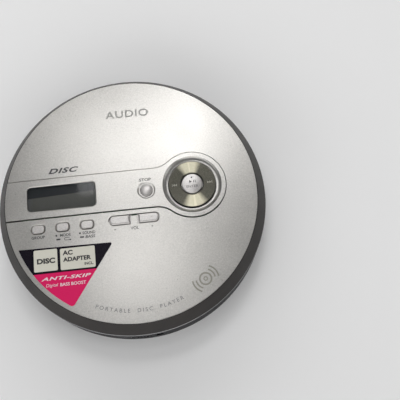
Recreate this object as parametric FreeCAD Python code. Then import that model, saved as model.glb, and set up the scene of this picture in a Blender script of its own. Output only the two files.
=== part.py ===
"""Portable disc player: round clam-shell case, lid controls, disc mechanism and two AA cells.

Frame: millimetres, origin on the table under the middle of the case, +X to the right along the
lid's panel, +Y to the hinge, +Z up. One STEP file is written for each node.
"""
import FreeCAD
import Part
import math
import os

V = FreeCAD.Vector
UP = V(0, 0, 1)
ALONG_X = V(1, 0, 0)
ALONG_Y = V(0, 1, 0)

# Outline of the case
RIM_R = 69.0
CASE_R = 69.2
CASE_INNER_R = 67.4
FOOT_R = 2.2
FOOT_INNER_R = 1.2
CASE_BOTTOM = 0.8
CASE_FLOOR = 1.9
CASE_TOP = 18.7
TRIM_TOP = 19.3

# Lid top: a plate on a very shallow sphere, with a keyhole-shaped panel set into it
TOP_R = 64.2
TOP_Z = 27.8
TOP_T = 1.1
CROWN_DROP = 0.8
CROWN_R = (TOP_R ** 2 + CROWN_DROP ** 2) / (2 * CROWN_DROP)
PANEL_UP = 0.2
PANEL_Y = 3.5
PANEL_HALF = 10.4
PANEL_END_R = 17.5
PANEL_BLEND_R = 12.0
PANEL_GAP = 0.19
PANEL_LOWER_GAP = 0.35
LID_BOTTOM = 19.6
COVER_Z = 21.9
BOARD_Z = 23.0
BOARD_T = 0.8
SWITCH_TOP = 24.3
STEM_BOTTOM = 24.75

# Controls
JOG = (31.4, 3.3)
JOG_R = 12.1
JOG_FLOOR = 25.8
BOWL_R = 15.2
BOWL_FOOT_R = 12.95
BOWL_DEPTH = 1.25
PLAY_R = 5.2
STOP = (7.8, 2.4)
STOP_R = 3.15
PILLS = {"group_button": -47.9, "mode_button": -35.6, "sound_button": -23.3}
PILL_Y = -12.5
PILL = (6.1, 3.9, 1.5)
VOLUME_Y = -12.15
VOLUME_HALF = 2.25
VOLUME_RISE = 0.6
VOLUME_EASE = 0.9
VOLUME_GAP = 0.42
BRIDGE_GAP = 0.75
VOLUME = {"volume_down": (-12.05, -1.7), "volume_up": (2.65, 13.05)}
LCD = (-53.0, -18.3, -3.0, 10.1)

# Hinge and latch
HINGE_Y = 65.6
HINGE_Z = 17.2
HINGE_R = 2.0
PIN_R = 0.9
NOTCH_HALF = 20.5
NOTCH_Y = 62.9
NOTCH_FLOOR = 14.2
BARREL = (-7.5, 10.0)
LUG = (10.5, 14.8)

# Disc deck and drive
DECK_Z = 16.6
DECK_TOP = 17.6
WELL_R = 61.5
DISC_SEAT = 18.9
HUB_R = 7.35
HUB_TOP = 21.1
BALL_R = 1.0
BALL_AT = (6.55, 19.75)
BALL_ANGLES = (75, 195, 315)
LENS_Y = 23.0
LENS_Z = 17.3
CHASSIS_Z = 13.0
RODS_X = 12.4
DRIVE_Z = 10.0
SCREW_X = -17.2
DAMPERS = ((19.5, -8.0), (-26.0, -8.0), (20.5, 46.0))

# Cells, board and sockets
CELL_R = 7.1
CELL_Z = 9.25
CELL_ROWS = (-24.7, -40.6)
BAY = (28.4, -49.1, -16.2)
DOOR_AXIS = (-17.4, 1.7)
MAIN_Z = 2.7
MAIN_TOP = 3.7
SOCKET_Y = 18.0
SOCKET_Z = 8.1
SOCKET_FACE = 66.6
CASE_SCREWS = [(x, y) for x in (-53.0, 53.0) for y in (-28.0, 28.0)]
FEET = [(x, y) for x in (-36.0, 36.0) for y in (-47.0, 47.0)]
LID_SCREW_ANGLES = (55, 125, 200, 250, 320)
LID_SCREW_R = 57.5


def box(x0, x1, y0, y1, z0, z1):
    """Box between two corners."""
    return Part.makeBox(x1 - x0, y1 - y0, z1 - z0, V(x0, y0, z0))


def cyl(r, z0, z1, x=0.0, y=0.0):
    """Upright cylinder."""
    return Part.makeCylinder(r, z1 - z0, V(x, y, z0))


def rod_x(r, x0, x1, y, z):
    """Cylinder along X."""
    return Part.makeCylinder(r, x1 - x0, V(x0, y, z), ALONG_X)


def rod_y(r, y0, y1, x, z):
    """Cylinder along Y."""
    return Part.makeCylinder(r, y1 - y0, V(x, y0, z), ALONG_Y)


def solid_of(wire):
    """Solid turned from a closed wire in the XZ plane."""
    return Part.Face(wire).revolve(V(0, 0, 0), UP, 360)


def turned(points, x=0.0, y=0.0):
    """Solid turned about an upright axis from a polygon of (radius, height) points."""
    ring = [V(r, 0, z) for r, z in points]
    ring.append(ring[0])
    shape = solid_of(Part.makePolygon(ring))
    shape.translate(V(x, y, 0))
    return shape


def line(a, b):
    """Straight edge."""
    return Part.LineSegment(a, b).toShape()


def arc(a, middle, b):
    """Arc edge through three points."""
    return Part.Arc(a, middle, b).toShape()


def rounded(x0, x1, y0, y1, r, z):
    """Rounded rectangle wire at a height."""
    k = r * (1 - math.sqrt(0.5))
    corners = ((x1, y0, 1, -1), (x1, y1, 1, 1), (x0, y1, -1, 1), (x0, y0, -1, -1))
    arcs = []
    for x, y, sx, sy in corners:
        first = V(x - sx * r, y, z) if sx * sy < 0 else V(x, y - sy * r, z)
        last = V(x, y - sy * r, z) if sx * sy < 0 else V(x - sx * r, y, z)
        arcs.append((first, V(x - sx * k, y - sy * k, z), last))
    edges = []
    for i, (first, middle, last) in enumerate(arcs):
        edges.append(arc(first, middle, last))
        start = arcs[(i + 1) % 4][0]
        if (start - last).Length > 1e-6:
            edges.append(line(last, start))
    return Part.Wire(edges)


def prism(wire, height):
    """Upright solid on a flat wire."""
    return Part.Face(wire).extrude(V(0, 0, height))


def pad(x0, x1, y0, y1, r, z0, z1):
    """Rounded rectangular block."""
    return prism(rounded(x0, x1, y0, y1, r, z0), z1 - z0)


def tapered(x0, x1, y0, y1, r, z0, z1, grow):
    """Rounded rectangular block that widens upwards by grow on each side."""
    low = rounded(x0, x1, y0, y1, r, z0)
    high = rounded(x0 - grow, x1 + grow, y0 - grow, y1 + grow, r + grow, z1)
    return Part.makeLoft([low, high], True, True)


def cap_arc(r, edge_z, top_z):
    """Arc from a rim up to the axis that turns into part of a sphere."""
    rise = top_z - edge_z
    sphere = (r * r + rise * rise) / (2 * rise)
    mid = top_z - sphere + math.sqrt(sphere ** 2 - (r / 2) ** 2)
    return arc(V(r, 0, edge_z), V(r / 2, 0, mid), V(0, 0, top_z))


def crown(x, y):
    """Height of the lid's top surface at a place."""
    return TOP_Z - CROWN_R + math.sqrt(CROWN_R ** 2 - x * x - y * y)


def crown_ball(top_z):
    """Ball whose top is the lid's crown at a height. Its poles lie along Y, clear of the lid."""
    ball = Part.makeSphere(CROWN_R)
    ball.rotate(V(0, 0, 0), ALONG_X, 90)
    ball.translate(V(0, 0, top_z - CROWN_R))
    return ball


def crown_slab(r, up, down):
    """Round slab with crowned faces, from down below the lid's surface to up above it."""
    blank = cyl(r, TOP_Z - down - 3, TOP_Z + up + 1)
    return blank.common(crown_ball(TOP_Z + up)).cut(crown_ball(TOP_Z - down))


def keyhole(grow, z0, z1):
    """Prism of the panel's outline: a straight band from the left, blended into a round end."""
    cx, cy = JOG
    r = PANEL_END_R + grow
    blend = PANEL_BLEND_R - grow
    edges = []
    left = -TOP_R - 10
    ends = []
    for side in (1, -1):
        edge_y = PANEL_Y + side * (PANEL_HALF + grow)
        centre_y = edge_y + side * blend
        dx = math.sqrt((r + blend) ** 2 - (centre_y - cy) ** 2)
        centre = V(cx - dx, centre_y, z0)
        to_end = (V(cx, cy, z0) - centre).normalize()
        start = V(centre.x, edge_y, z0)
        finish = centre + to_end * blend
        middle = centre + (to_end + V(0, -side, 0)).normalize() * blend
        edges.append(line(V(left, edge_y, z0), start))
        edges.append(arc(start, middle, finish))
        ends.append(finish)
    edges.append(arc(ends[0], V(cx + r, cy, z0), ends[1]))
    top = PANEL_Y + PANEL_HALF + grow
    bottom = PANEL_Y - PANEL_HALF - grow
    edges.append(line(V(left, top, z0), V(left, bottom, z0)))
    return prism(Part.Wire(Part.__sortEdges__(edges)), z1 - z0)


def coil(start, direction, radius, end_radius, length, turns, wire_r):
    """Round wire wound along a direction, straight-sided or conical."""
    angle = math.degrees(math.atan2(end_radius - radius, length))
    helix = Part.makeHelix(length / turns, length, radius, angle)
    ring = Part.Wire(Part.Circle(V(radius, 0, 0), ALONG_Y, wire_r).toShape())
    shape = Part.Wire(helix.Edges).makePipeShell([ring], True, True)
    shape.Placement = FreeCAD.Placement(start, FreeCAD.Rotation(UP, direction))
    return shape


def fuse(shapes):
    """One solid from overlapping solids."""
    first = shapes[0]
    return first.fuse(shapes[1:]).removeSplitter()


def cut(shape, tools):
    """Shape with every tool taken away."""
    for tool in tools:
        shape = shape.cut(tool)
    return shape


def group(shapes):
    """Separate solids in one node."""
    return Part.makeCompound(shapes)


def on_circle(r, degrees):
    """Point on a circle about the case's axis."""
    return r * math.cos(math.radians(degrees)), r * math.sin(math.radians(degrees))


def softened(shape, z, r):
    """Shape with the edges that lie flat at a height rounded."""
    edges = []
    for edge in shape.Edges:
        bounds = edge.BoundBox
        if abs(bounds.ZMin - z) < 1e-4 and abs(bounds.ZMax - z) < 1e-4:
            edges.append(edge)
    return shape.makeFillet(r, edges)


# Lid ---------------------------------------------------------------------------------------------

def lid_rim():
    """Outer ring of the lid with its sloping bevel, and the hinge barrel at the back."""
    ring = turned([
        (67.9, LID_BOTTOM), (68.7, LID_BOTTOM), (RIM_R, 19.9), (64.6, 26.88), (64.45, 27.0),
        (64.35, 26.9), (64.35, 25.85), (62.2, 25.85), (62.2, 24.9), (64.2, 24.9),
    ])
    x0, x1 = BARREL
    block = box(x0, x1, HINGE_Y - 1, 69, 18.4, 20.4).common(cyl(RIM_R - 0.4, 18, 21))
    web = box(x0, x1, HINGE_Y - 1, HINGE_Y + 1, HINGE_Z, 19)
    barrel = rod_x(HINGE_R, x0, x1, HINGE_Y, HINGE_Z)
    hole = rod_x(PIN_R + 0.05, x0 - 1, x1 + 1, HINGE_Y, HINGE_Z)
    return cut(fuse([ring, block, web, barrel]), [hole])


def pill_box(x, grow=0.0):
    """Edges of a pill button's outline, grown on each side."""
    w, d, r = PILL
    return (x - w / 2 - grow, x + w / 2 + grow, PILL_Y - d / 2 - grow, PILL_Y + d / 2 + grow, r + grow)


def volume_outline(name, grow, z0, z1):
    """Block of one half of the volume pair: round at the outer end, square at the inner end."""
    x0, x1 = VOLUME[name]
    half = VOLUME_HALF + grow
    x0, x1 = x0 - grow, x1 + grow
    y0, y1 = VOLUME_Y - half, VOLUME_Y + half
    left_end = name == "volume_down"
    centre = x0 + half if left_end else x1 - half
    straight = box(centre, x1, y0, y1, z0, z1) if left_end else box(x0, centre, y0, y1, z0, z1)
    return straight.fuse(cyl(half, z0, z1, centre, VOLUME_Y)).removeSplitter()


def volume_recess():
    """Shallow stadium recess that both volume caps and the bridge between them sit in."""
    half = VOLUME_HALF + VOLUME_GAP + 0.05
    x0 = VOLUME["volume_down"][0] - VOLUME_GAP - 0.05
    x1 = VOLUME["volume_up"][1] + VOLUME_GAP + 0.05
    z = crown(0, VOLUME_Y) - 0.45
    return pad(x0, x1, VOLUME_Y - half, VOLUME_Y + half, half - 0.01, z, z + 3)


def lid_top():
    """Crowned top plate with the panel's opening, the button holes and the screw bosses."""
    plate = crown_slab(TOP_R, 0, TOP_T)
    lower = keyhole(PANEL_GAP, 20, 30)
    lower.translate(V(0, -PANEL_LOWER_GAP, 0))
    tools = [keyhole(PANEL_GAP, 20, 30), lower, volume_recess()]
    for name in VOLUME:
        tools.append(volume_outline(name, VOLUME_GAP, 20, 30))
    bridge_x0, bridge_x1 = VOLUME["volume_down"][1], VOLUME["volume_up"][0]
    half = VOLUME_HALF + VOLUME_GAP
    for x0 in (bridge_x0, bridge_x1 - BRIDGE_GAP):
        tools.append(box(x0, x0 + BRIDGE_GAP, VOLUME_Y - half, VOLUME_Y + half, 20, 30))
    tools.append(box(bridge_x0, bridge_x1, VOLUME_Y + half - BRIDGE_GAP, VOLUME_Y + half, 20, 30))
    for x in PILLS.values():
        z = crown(x, PILL_Y)
        tools.append(pad(*pill_box(x, 0.2), 20, 30))
        tools.append(tapered(*pill_box(x, 0.2), z - 0.6, z + 0.1, 0.7))
    plate = cut(plate, tools)
    bosses = []
    pilots = []
    for angle in LID_SCREW_ANGLES:
        x, y = on_circle(LID_SCREW_R, angle)
        bosses.append(cyl(2.0, 23.25, 26.6, x, y))
        pilots.append(cyl(0.75, 23.2, 25.6, x, y))
    return cut(fuse([plate] + bosses), pilots)


def control_panel():
    """Keyhole panel with the window opening, the stop button's dish and the jog's bowl."""
    plate = crown_slab(TOP_R, PANEL_UP, TOP_T).common(keyhole(-PANEL_GAP, 20, 30))
    x, y = JOG
    plate = fuse([plate, cyl(16.0, 25.3, 27.0, x, y)])
    surface = crown(x, y) + PANEL_UP
    foot, lip = V(BOWL_FOOT_R, 0, -BOWL_DEPTH), V(BOWL_R, 0, 0)
    belly = (foot + lip) * 0.5 + V(0.22, 0, -0.24)
    above = V(BOWL_R + 0.5, 0, 1.0)
    wall = solid_of(Part.Wire([
        line(V(0, 0, -BOWL_DEPTH), foot), arc(foot, belly, lip), line(lip, above),
        line(above, V(0, 0, 1.0)), line(V(0, 0, 1.0), V(0, 0, -BOWL_DEPTH)),
    ]))
    normal = V(x, y, CROWN_R).normalize()
    wall.Placement = FreeCAD.Placement(V(x, y, surface), FreeCAD.Rotation(UP, normal))
    floor = cyl(BOWL_FOOT_R - 0.05, JOG_FLOOR, 29, x, y)
    throat = cyl(8.4, 25, 26.5, x, y)
    x0, x1, y0, y1 = LCD
    lcd_z = crown((x0 + x1) / 2, 0)
    window = pad(x0, x1, y0, y1, 2.0, 20, 30)
    bevel = tapered(x0, x1, y0, y1, 2.0, lcd_z - 0.35, lcd_z + 0.65, 0.8)
    sx, sy = STOP
    dish_z = crown(sx, sy) + PANEL_UP
    dish = turned([(0, dish_z - 0.75), (3.9, dish_z - 0.75), (4.75, dish_z + 0.02), (4.8, dish_z + 1), (0, dish_z + 1)],
                  sx, sy)
    hole = cyl(STOP_R + 0.2, 20, 30, sx, sy)
    return cut(plate, [wall, floor, throat, window, bevel, dish, hole])


def lcd_window():
    """Clear window set a little below the panel's face."""
    x0, x1, y0, y1 = LCD
    gap = 0.08
    block = pad(x0 + gap, x1 - gap, y0 + gap, y1 - gap, 2.0 - gap, 20, 30)
    return crown_slab(TOP_R, 0.05, 0.95).common(block)


def lcd_module():
    """Display cell in its frame, on the lid's board."""
    x0, x1, y0, y1 = LCD
    frame = box(x0 - 1.2, x1 + 1.2, y0 - 1.2, y1 + 1.2, BOARD_Z + BOARD_T, 25.2)
    glass = box(x0 + 0.2, x1 - 0.2, y0 + 0.2, y1 - 0.2, 25.1, 25.7)
    return fuse([frame, glass])


def lid_board():
    """Button board: a band under the display and pills, and a round end under the jog."""
    band = box(-57, 20, -17, 12.8, BOARD_Z, BOARD_Z + BOARD_T)
    end = cyl(17.0, BOARD_Z, BOARD_Z + BOARD_T, *JOG)
    return fuse([band, end]).common(cyl(59.5, BOARD_Z - 1, 26))


def switch_places():
    """Where each button meets its switch."""
    places = [STOP, JOG, (JOG[0] - 7.5, JOG[1]), (JOG[0] + 7.5, JOG[1])]
    places += [(x, PILL_Y) for x in PILLS.values()]
    places += [((x0 + x1) / 2, VOLUME_Y) for x0, x1 in VOLUME.values()]
    return places


def tact_switches():
    """Flat tact switches on the lid's board."""
    base = BOARD_Z + BOARD_T
    switches = []
    for x, y in switch_places():
        body = box(x - 1.6, x + 1.6, y - 1.6, y + 1.6, base, base + 0.3)
        switches.append(fuse([body, cyl(1.0, base + 0.2, SWITCH_TOP, x, y)]))
    return group(switches)


def lid_inner_cover():
    """Dark moulding that closes the lid over the disc."""
    plate = turned([
        (0, COVER_Z), (61.0, COVER_Z), (62.2, 20.6), (66.3, 20.6),
        (66.3, 21.4), (62.9, 21.4), (61.6, 22.7), (0, 22.7),
    ])
    pads = []
    holes = []
    for angle in LID_SCREW_ANGLES:
        x, y = on_circle(LID_SCREW_R, angle)
        pads.append(cyl(2.4, 22.6, 23.2, x, y))
        holes.append(cyl(1.65, COVER_Z - 1, 22.5, x, y))
        holes.append(cyl(0.8, 22, 24, x, y))
    for x, y in ((-50, -8), (-15, 11), (16, -8), (-30, -8), (40, 3.3)):
        pads.append(cyl(1.4, 22.6, BOARD_Z, x, y))
    return cut(fuse([plate] + pads), holes)


def pan_screw(x, y, z0, z1, z2, head_r, shank_r):
    """Screw that points up: head from z0 to z1, shank to z2, with a cross recess."""
    screw = fuse([softened(cyl(head_r, z0, z1, x, y), z0, 0.25), cyl(shank_r, z1 - 0.1, z2, x, y)])
    arm = head_r * 0.6
    slot = head_r * 0.14
    deep = z0 + (z1 - z0) * 0.6
    cross = [box(x - arm, x + arm, y - slot, y + slot, z0 - 1, deep)]
    cross.append(box(x - slot, x + slot, y - arm, y + arm, z0 - 1, deep))
    return cut(screw, cross)


def lid_screws():
    """Screws through the inner cover into the top plate's bosses."""
    places = [on_circle(LID_SCREW_R, angle) for angle in LID_SCREW_ANGLES]
    return group([pan_screw(x, y, 21.95, 22.5, 25.3, 1.5, 0.7) for x, y in places])


def label_sticker():
    """Thin printed label on the lower left of the top plate."""
    z = 20
    r = 62.0
    top_left = V(-math.sqrt(r * r - 22.2 ** 2), -22.2, z)
    corner = V(-11.0, -23.0, z)
    tip_right = V(-31.3, -51.9, z)
    tip_left = V(-34.2, -math.sqrt(r * r - 34.2 ** 2), z)
    x, y = on_circle(r, 220)
    right_in = corner + (tip_right - corner).normalize() * 1.6
    top_in = corner + (top_left - corner).normalize() * 1.6
    chord = (right_in + top_in) * 0.5
    edges = [
        line(top_left, top_in), arc(top_in, corner + (chord - corner) * 0.58, right_in),
        line(right_in, tip_right), arc(tip_right, V(-32.4, -52.45, z), tip_left),
        arc(tip_left, V(x, y, z), top_left),
    ]
    film = crown_slab(TOP_R, 0.13, -0.01)
    return film.common(prism(Part.Wire(edges), 10))


def hinge_pins():
    """Two steel pins that join the barrel to the lugs."""
    x0, x1 = BARREL
    spans = ((-LUG[1], x0 + 4), (x1 - 4, LUG[1]))
    return group([rod_x(PIN_R, *span, HINGE_Y, HINGE_Z) for span in spans])


def latch_claw():
    """Hook under the front of the lid."""
    stem = box(-2.4, 1.4, -64.8, -63.6, 13.8, 20.3)
    barb = box(1.3, 2.3, -64.8, -63.6, 13.8, 15.0)
    foot = box(-4, 4, -65.4, -62.9, 20.1, 20.6)
    return fuse([stem, barb, foot])


# Buttons -----------------------------------------------------------------------------------------

def stem(x, y, top):
    """Post that reaches down to a switch."""
    return cyl(1.1, STEM_BOTTOM, top, x, y)


def pill_button(name):
    """Small rounded cap with a flange under the plate."""
    x = PILLS[name]
    z = crown(x, PILL_Y)
    cap = softened(pad(*pill_box(x), z - 1.6, z + 0.15), z + 0.15, 0.45)
    flange = pad(*pill_box(x, 0.8), z - 1.9, z - 1.4)
    return fuse([cap, flange, stem(x, PILL_Y, z - 1.5)])


def volume_button(name):
    """Volume cap with a rounded top edge; the upper one has a raised dot."""
    x0, x1 = VOLUME[name]
    z = crown((x0 + x1) / 2, VOLUME_Y)
    top = z + VOLUME_RISE
    cap = softened(volume_outline(name, 0, z - 1.6, top), top, VOLUME_EASE)
    flange = volume_outline(name, 0.75, z - 1.9, z - 1.4)
    parts = [cap, flange, stem((x0 + x1) / 2, VOLUME_Y, z - 1.5)]
    if name == "volume_up":
        parts.append(Part.makeSphere(0.42, V(9.4, VOLUME_Y + 0.2, top - 0.1)))
    return fuse(parts)


def dome(r, edge_z, top_z, bottom_z, x, y):
    """Round cap with a domed top and an eased edge."""
    ease = 0.35
    edges = [
        line(V(0, 0, bottom_z), V(r, 0, bottom_z)), line(V(r, 0, bottom_z), V(r, 0, edge_z - ease)),
        line(V(r, 0, edge_z - ease), V(r - ease * 0.6, 0, edge_z)),
        cap_arc(r - ease * 0.6, edge_z, top_z), line(V(0, 0, top_z), V(0, 0, bottom_z)),
    ]
    shape = solid_of(Part.Wire(edges))
    shape.translate(V(x, y, 0))
    return shape


def stop_button():
    """Round domed cap in its dish."""
    x, y = STOP
    z = crown(x, y)
    cap = dome(STOP_R, z + 0.1, z + 0.5, z - 1.6, x, y)
    return fuse([cap, cyl(4.1, z - 2.0, z - 1.45, x, y), stem(x, y, z - 1.5)])


def play_button():
    """Round centre button of the jog."""
    x, y = JOG
    cap = dome(PLAY_R, 28.45, 28.8, 24.75, x, y)
    return fuse([cap, cyl(6.5, 24.75, 25.15, x, y)])


def jog_base():
    """Dark rocker under the metal plate, with a tapered side."""
    return turned([
        (5.6, 25.6), (7.0, 25.6), (7.0, 24.6), (8.0, 24.6), (8.0, 26.35), (12.45, 26.35),
        (12.45, 26.6), (JOG_R + 0.05, 27.6), (5.6, 27.6),
    ], *JOG)


def jog_plate():
    """Spun metal ring on the rocker, dished towards the centre button."""
    return turned([
        (5.75, 27.6), (JOG_R, 27.6), (JOG_R, 27.95), (JOG_R - 0.3, 28.22), (6.2, 28.05), (5.75, 27.85),
    ], *JOG)


# Base --------------------------------------------------------------------------------------------

def notch():
    """Room at the back for the hinge."""
    return box(-NOTCH_HALF, NOTCH_HALF, NOTCH_Y, 80, NOTCH_FLOOR, 30)


def case_shell():
    """Round tray with a rounded foot."""
    k = math.sqrt(0.5)
    outer = V(CASE_R - FOOT_R, 0, CASE_BOTTOM + FOOT_R)
    inner = V(CASE_INNER_R - FOOT_INNER_R, 0, CASE_FLOOR + FOOT_INNER_R)
    below = V(outer.x, 0, CASE_BOTTOM)
    beside = V(CASE_R, 0, outer.z)
    inside = V(CASE_INNER_R, 0, inner.z)
    floor = V(inner.x, 0, CASE_FLOOR)
    edges = [
        line(V(0, 0, CASE_BOTTOM), below),
        arc(below, outer + V(FOOT_R * k, 0, -FOOT_R * k), beside),
        line(beside, V(CASE_R, 0, CASE_TOP)),
        line(V(CASE_R, 0, CASE_TOP), V(CASE_INNER_R, 0, CASE_TOP)),
        line(V(CASE_INNER_R, 0, CASE_TOP), inside),
        arc(inside, inner + V(FOOT_INNER_R * k, 0, -FOOT_INNER_R * k), floor),
        line(floor, V(0, 0, CASE_FLOOR)),
        line(V(0, 0, CASE_FLOOR), V(0, 0, CASE_BOTTOM)),
    ]
    return solid_of(Part.Wire(edges))


def hinge_pocket():
    """Floor, sides and front of the hinge room, with a lug at each end."""
    inside = cyl(68.5, 10, 20)
    half = NOTCH_HALF + 1
    floor = box(-half, half, 61.9, 70, 13.2, NOTCH_FLOOR).common(inside)
    front = box(-half, half, 61.9, NOTCH_Y, 13.2, 16.5).common(inside)
    parts = [floor, front]
    for side in (-1, 1):
        x0, x1 = sorted((side * NOTCH_HALF, side * half))
        parts.append(box(x0, x1, 61.9, 70, 13.2, 16.5).common(inside))
    return parts


def hinge_lugs():
    """Lugs that hold the pins."""
    lugs = []
    for side in (-1, 1):
        x0, x1 = sorted((side * LUG[0], side * LUG[1]))
        lugs.append(rod_x(HINGE_R, x0, x1, HINGE_Y, HINGE_Z))
        lugs.append(box(x0, x1, HINGE_Y - 1, HINGE_Y + 1, NOTCH_FLOOR - 0.5, HINGE_Z))
    return lugs


def case_posts():
    """Screw bosses, damper posts and board rests on the floor."""
    posts = [cyl(3.4, CASE_FLOOR - 0.5, 5.0, x, y) for x, y in CASE_SCREWS]
    for x, y in DAMPERS:
        posts.append(cyl(2.9, CASE_FLOOR - 0.5, 11.95, x, y))
        posts.append(cyl(1.9, 11.5, 15.1, x, y))
    for x, y in ((-40, -8), (40, -8), (-10, 50), (-48, 10), (40, 30)):
        posts.append(cyl(1.5, CASE_FLOOR - 0.5, MAIN_Z, x, y))
    for side in (-1, 1):
        x0, x1 = sorted((side * 27.2, side * 28.3))
        posts.append(box(x0, x1, -18.4, -16.4, CASE_FLOOR - 0.5, 2.6))
    return posts


def lower_case():
    """Bottom shell: tray, hinge pocket, latch housing, posts and every opening in the wall."""
    shell = cut(case_shell(), [notch()])
    housing = box(-12, 13, -68.3, -66.6, 8.2, 15.8).common(cyl(68.4, 5, 20))
    hold_housing = box(66.6, 68.3, -9, 9, 6.2, 13.8).common(cyl(68.4, 5, 20))
    shell = fuse([shell, housing, hold_housing] + hinge_pocket() + case_posts())
    tools = [box(-27.0, 27.0, -48.6, -16.25, 0, 3.2)]
    for side in (-1, 1):
        x0, x1 = sorted((side * 26.9, side * 28.1))
        tools.append(rod_x(0.56, x0, x1, *DOOR_AXIS))
    for x, y in CASE_SCREWS:
        tools.append(cyl(2.2, 0, 2.4, x, y))
        tools.append(cyl(1.1, 2, 6, x, y))
    for x, y in DAMPERS:
        tools.append(cyl(0.8, 9, 16, x, y))
    tools.append(pad_y(-6.4, 9.5, 8.8, 15.2, -75, -68.2))
    tools.append(box(-2.3, 5.3, -70, -66, 10.4, 13.6))
    tools.append(box(68.2, 75, -4.4, 6.9, 7.3, 12.7))
    tools.append(box(66, 70, -1.3, 3.8, 8.8, 11.2))
    tools.append(rod_x(3.1, 60, 75, SOCKET_Y, SOCKET_Z))
    tools.append(rod_x(3.3, -75, -60, SOCKET_Y, SOCKET_Z))
    shell = cut(shell, tools)
    pin_hole = rod_x(PIN_R + 0.05, -LUG[1] - 1, LUG[1] + 1, HINGE_Y, HINGE_Z)
    return cut(fuse([shell] + hinge_lugs()), [pin_hole])


def pad_y(x0, x1, z0, z1, y0, y1):
    """Block with rounded corners seen along Y."""
    shape = pad(x0, x1, z0, z1, 1.0, 0, y1 - y0)
    shape.rotate(V(0, 0, 0), ALONG_X, 90)
    shape.translate(V(0, y1, 0))
    return shape


def case_trim():
    """Thin light ring round the top of the case."""
    ring = turned([(67.1, CASE_TOP), (CASE_R, CASE_TOP), (CASE_R, 19.1), (69.0, TRIM_TOP), (67.1, TRIM_TOP)])
    return cut(ring, [notch()])


def disc_deck():
    """Well that the disc turns in, with the drive's opening and the latch slot."""
    deck = turned([
        (0, DECK_Z), (62.7, DECK_Z), (62.7, 18.1), (66.9, 18.1), (66.9, TRIM_TOP),
        (61.9, TRIM_TOP), (WELL_R, 18.9), (WELL_R, DECK_TOP), (0, DECK_TOP),
    ])
    bosses = [cyl(2.6, 5.05, DECK_Z + 0.3, x, y) for x, y in CASE_SCREWS]
    tools = [notch(), cyl(16.0, 15, 20), pad(-10.5, 10.5, 0, 61.3, 3.0, 15, 20)]
    tools.append(box(-3.0, 3.2, -65.8, -62.9, 17, 20))
    tools += [cyl(0.95, 5, 12.5, x, y) for x, y in CASE_SCREWS]
    return cut(fuse([deck] + bosses), tools)


def rubber_feet():
    """Four soft feet; the case stands on them."""
    return group([softened(cyl(3.5, 0, CASE_BOTTOM, x, y), 0, 0.3) for x, y in FEET])


def case_screws():
    """Screws from below into the deck's bosses."""
    return group([pan_screw(x, y, 1.2, 2.4, 12.0, 1.9, 0.9) for x, y in CASE_SCREWS])


def battery_door():
    """Door under the cells, hinged along its inner edge."""
    y, z = DOOR_AXIS
    plate = box(-26.7, 26.7, -48.3, y, CASE_BOTTOM, 1.8)
    barrel = rod_x(0.9, -26.7, 26.7, y, z)
    pins = rod_x(0.5, -27.9, 27.9, y, z)
    ribs = [box(-6, 6, -46.4 + 1.4 * i, -45.8 + 1.4 * i, 0.5, 1.1) for i in range(3)]
    return cut(fuse([plate, barrel, pins]), ribs)


def battery_box():
    """Frame round the cells with a low rib between them."""
    half, y0, y1 = BAY
    frame = box(-half - 1.1, half + 1.1, y0 - 1.1, y1 + 1.1, 1.95, 16.5)
    inside = box(-half, half, y0, y1, 1, 20)
    frame = frame.cut(inside)
    middle = sum(CELL_ROWS) / 2
    rib = box(-20, 20, middle - 0.4, middle + 0.4, 14.5, 16.5)
    ties = [box(x - 0.6, x + 0.6, y0 - 0.5, y1 + 0.5, 16.36, 16.5) for x in (-20, 20)]
    return fuse([frame, rib] + ties)


def battery_cells():
    """Two AA cells that lie in opposite directions."""
    cells = []
    for side, y in zip((1, -1), CELL_ROWS):
        body = rod_x(CELL_R, -23.9, 25.6, y, CELL_Z).fuse(rod_x(2.75, 25.5, 26.6, y, CELL_Z))
        if side < 0:
            body.rotate(V(0, y, CELL_Z), UP, 180)
        cells.append(body.removeSplitter())
    return group(cells)


def battery_springs():
    """Conical springs at the flat end of each cell."""
    springs = []
    for side, y in zip((1, -1), CELL_ROWS):
        start = V(-28.0 * side, y, CELL_Z)
        springs.append(coil(start, V(side, 0, 0), 4.6, 2.4, 3.7, 3.5, 0.28))
    return group(springs)


def battery_plates():
    """Sheet contacts at both ends of the bay, with a stud for each positive end."""
    plates = []
    for side, y in zip((1, -1), CELL_ROWS):
        x0, x1 = sorted((28.08 * side, 28.36 * side))
        plate = box(x0, x1, y - 5.5, y + 5.5, 3.5, 15)
        s0, s1 = sorted((26.62 * side, 28.1 * side))
        plates.append(fuse([plate, rod_x(2.4, s0, s1, y, CELL_Z)]))
    bridge = [box(-28.36, -28.34, -30, -20, 3.5, 15), box(28.34, 28.36, -46, -35, 3.5, 15)]
    return group(plates + bridge)


def main_board():
    """Main circuit board over the floor at the back of the case."""
    board = cyl(62.5, MAIN_Z, MAIN_TOP).common(box(-70, 70, -13.5, 70, 0, 10))
    tools = [cyl(3.3, 0, 10, x, y) for x, y in DAMPERS]
    tools += [cyl(3.8, 0, 10, x, y) for x, y in CASE_SCREWS]
    return cut(board, tools)


def board_chips():
    """Flat chips on the main board."""
    chips = ((-44, -30, 22, 36), (28, 38, 22, 32), (30, 36, 4, 10), (-52, -46, -6, 0), (-4, 6, 24, 34))
    return group([box(*chip, MAIN_TOP, 4.8) for chip in chips])


def board_capacitors():
    """Round capacitors that stand on the main board."""
    places = ((-40, 8), (-40, 0), (34, 40), (46, -4), (-36, 44))
    return group([softened(cyl(3.1, MAIN_TOP, 11.0, x, y), 11.0, 0.4) for x, y in places])


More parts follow.
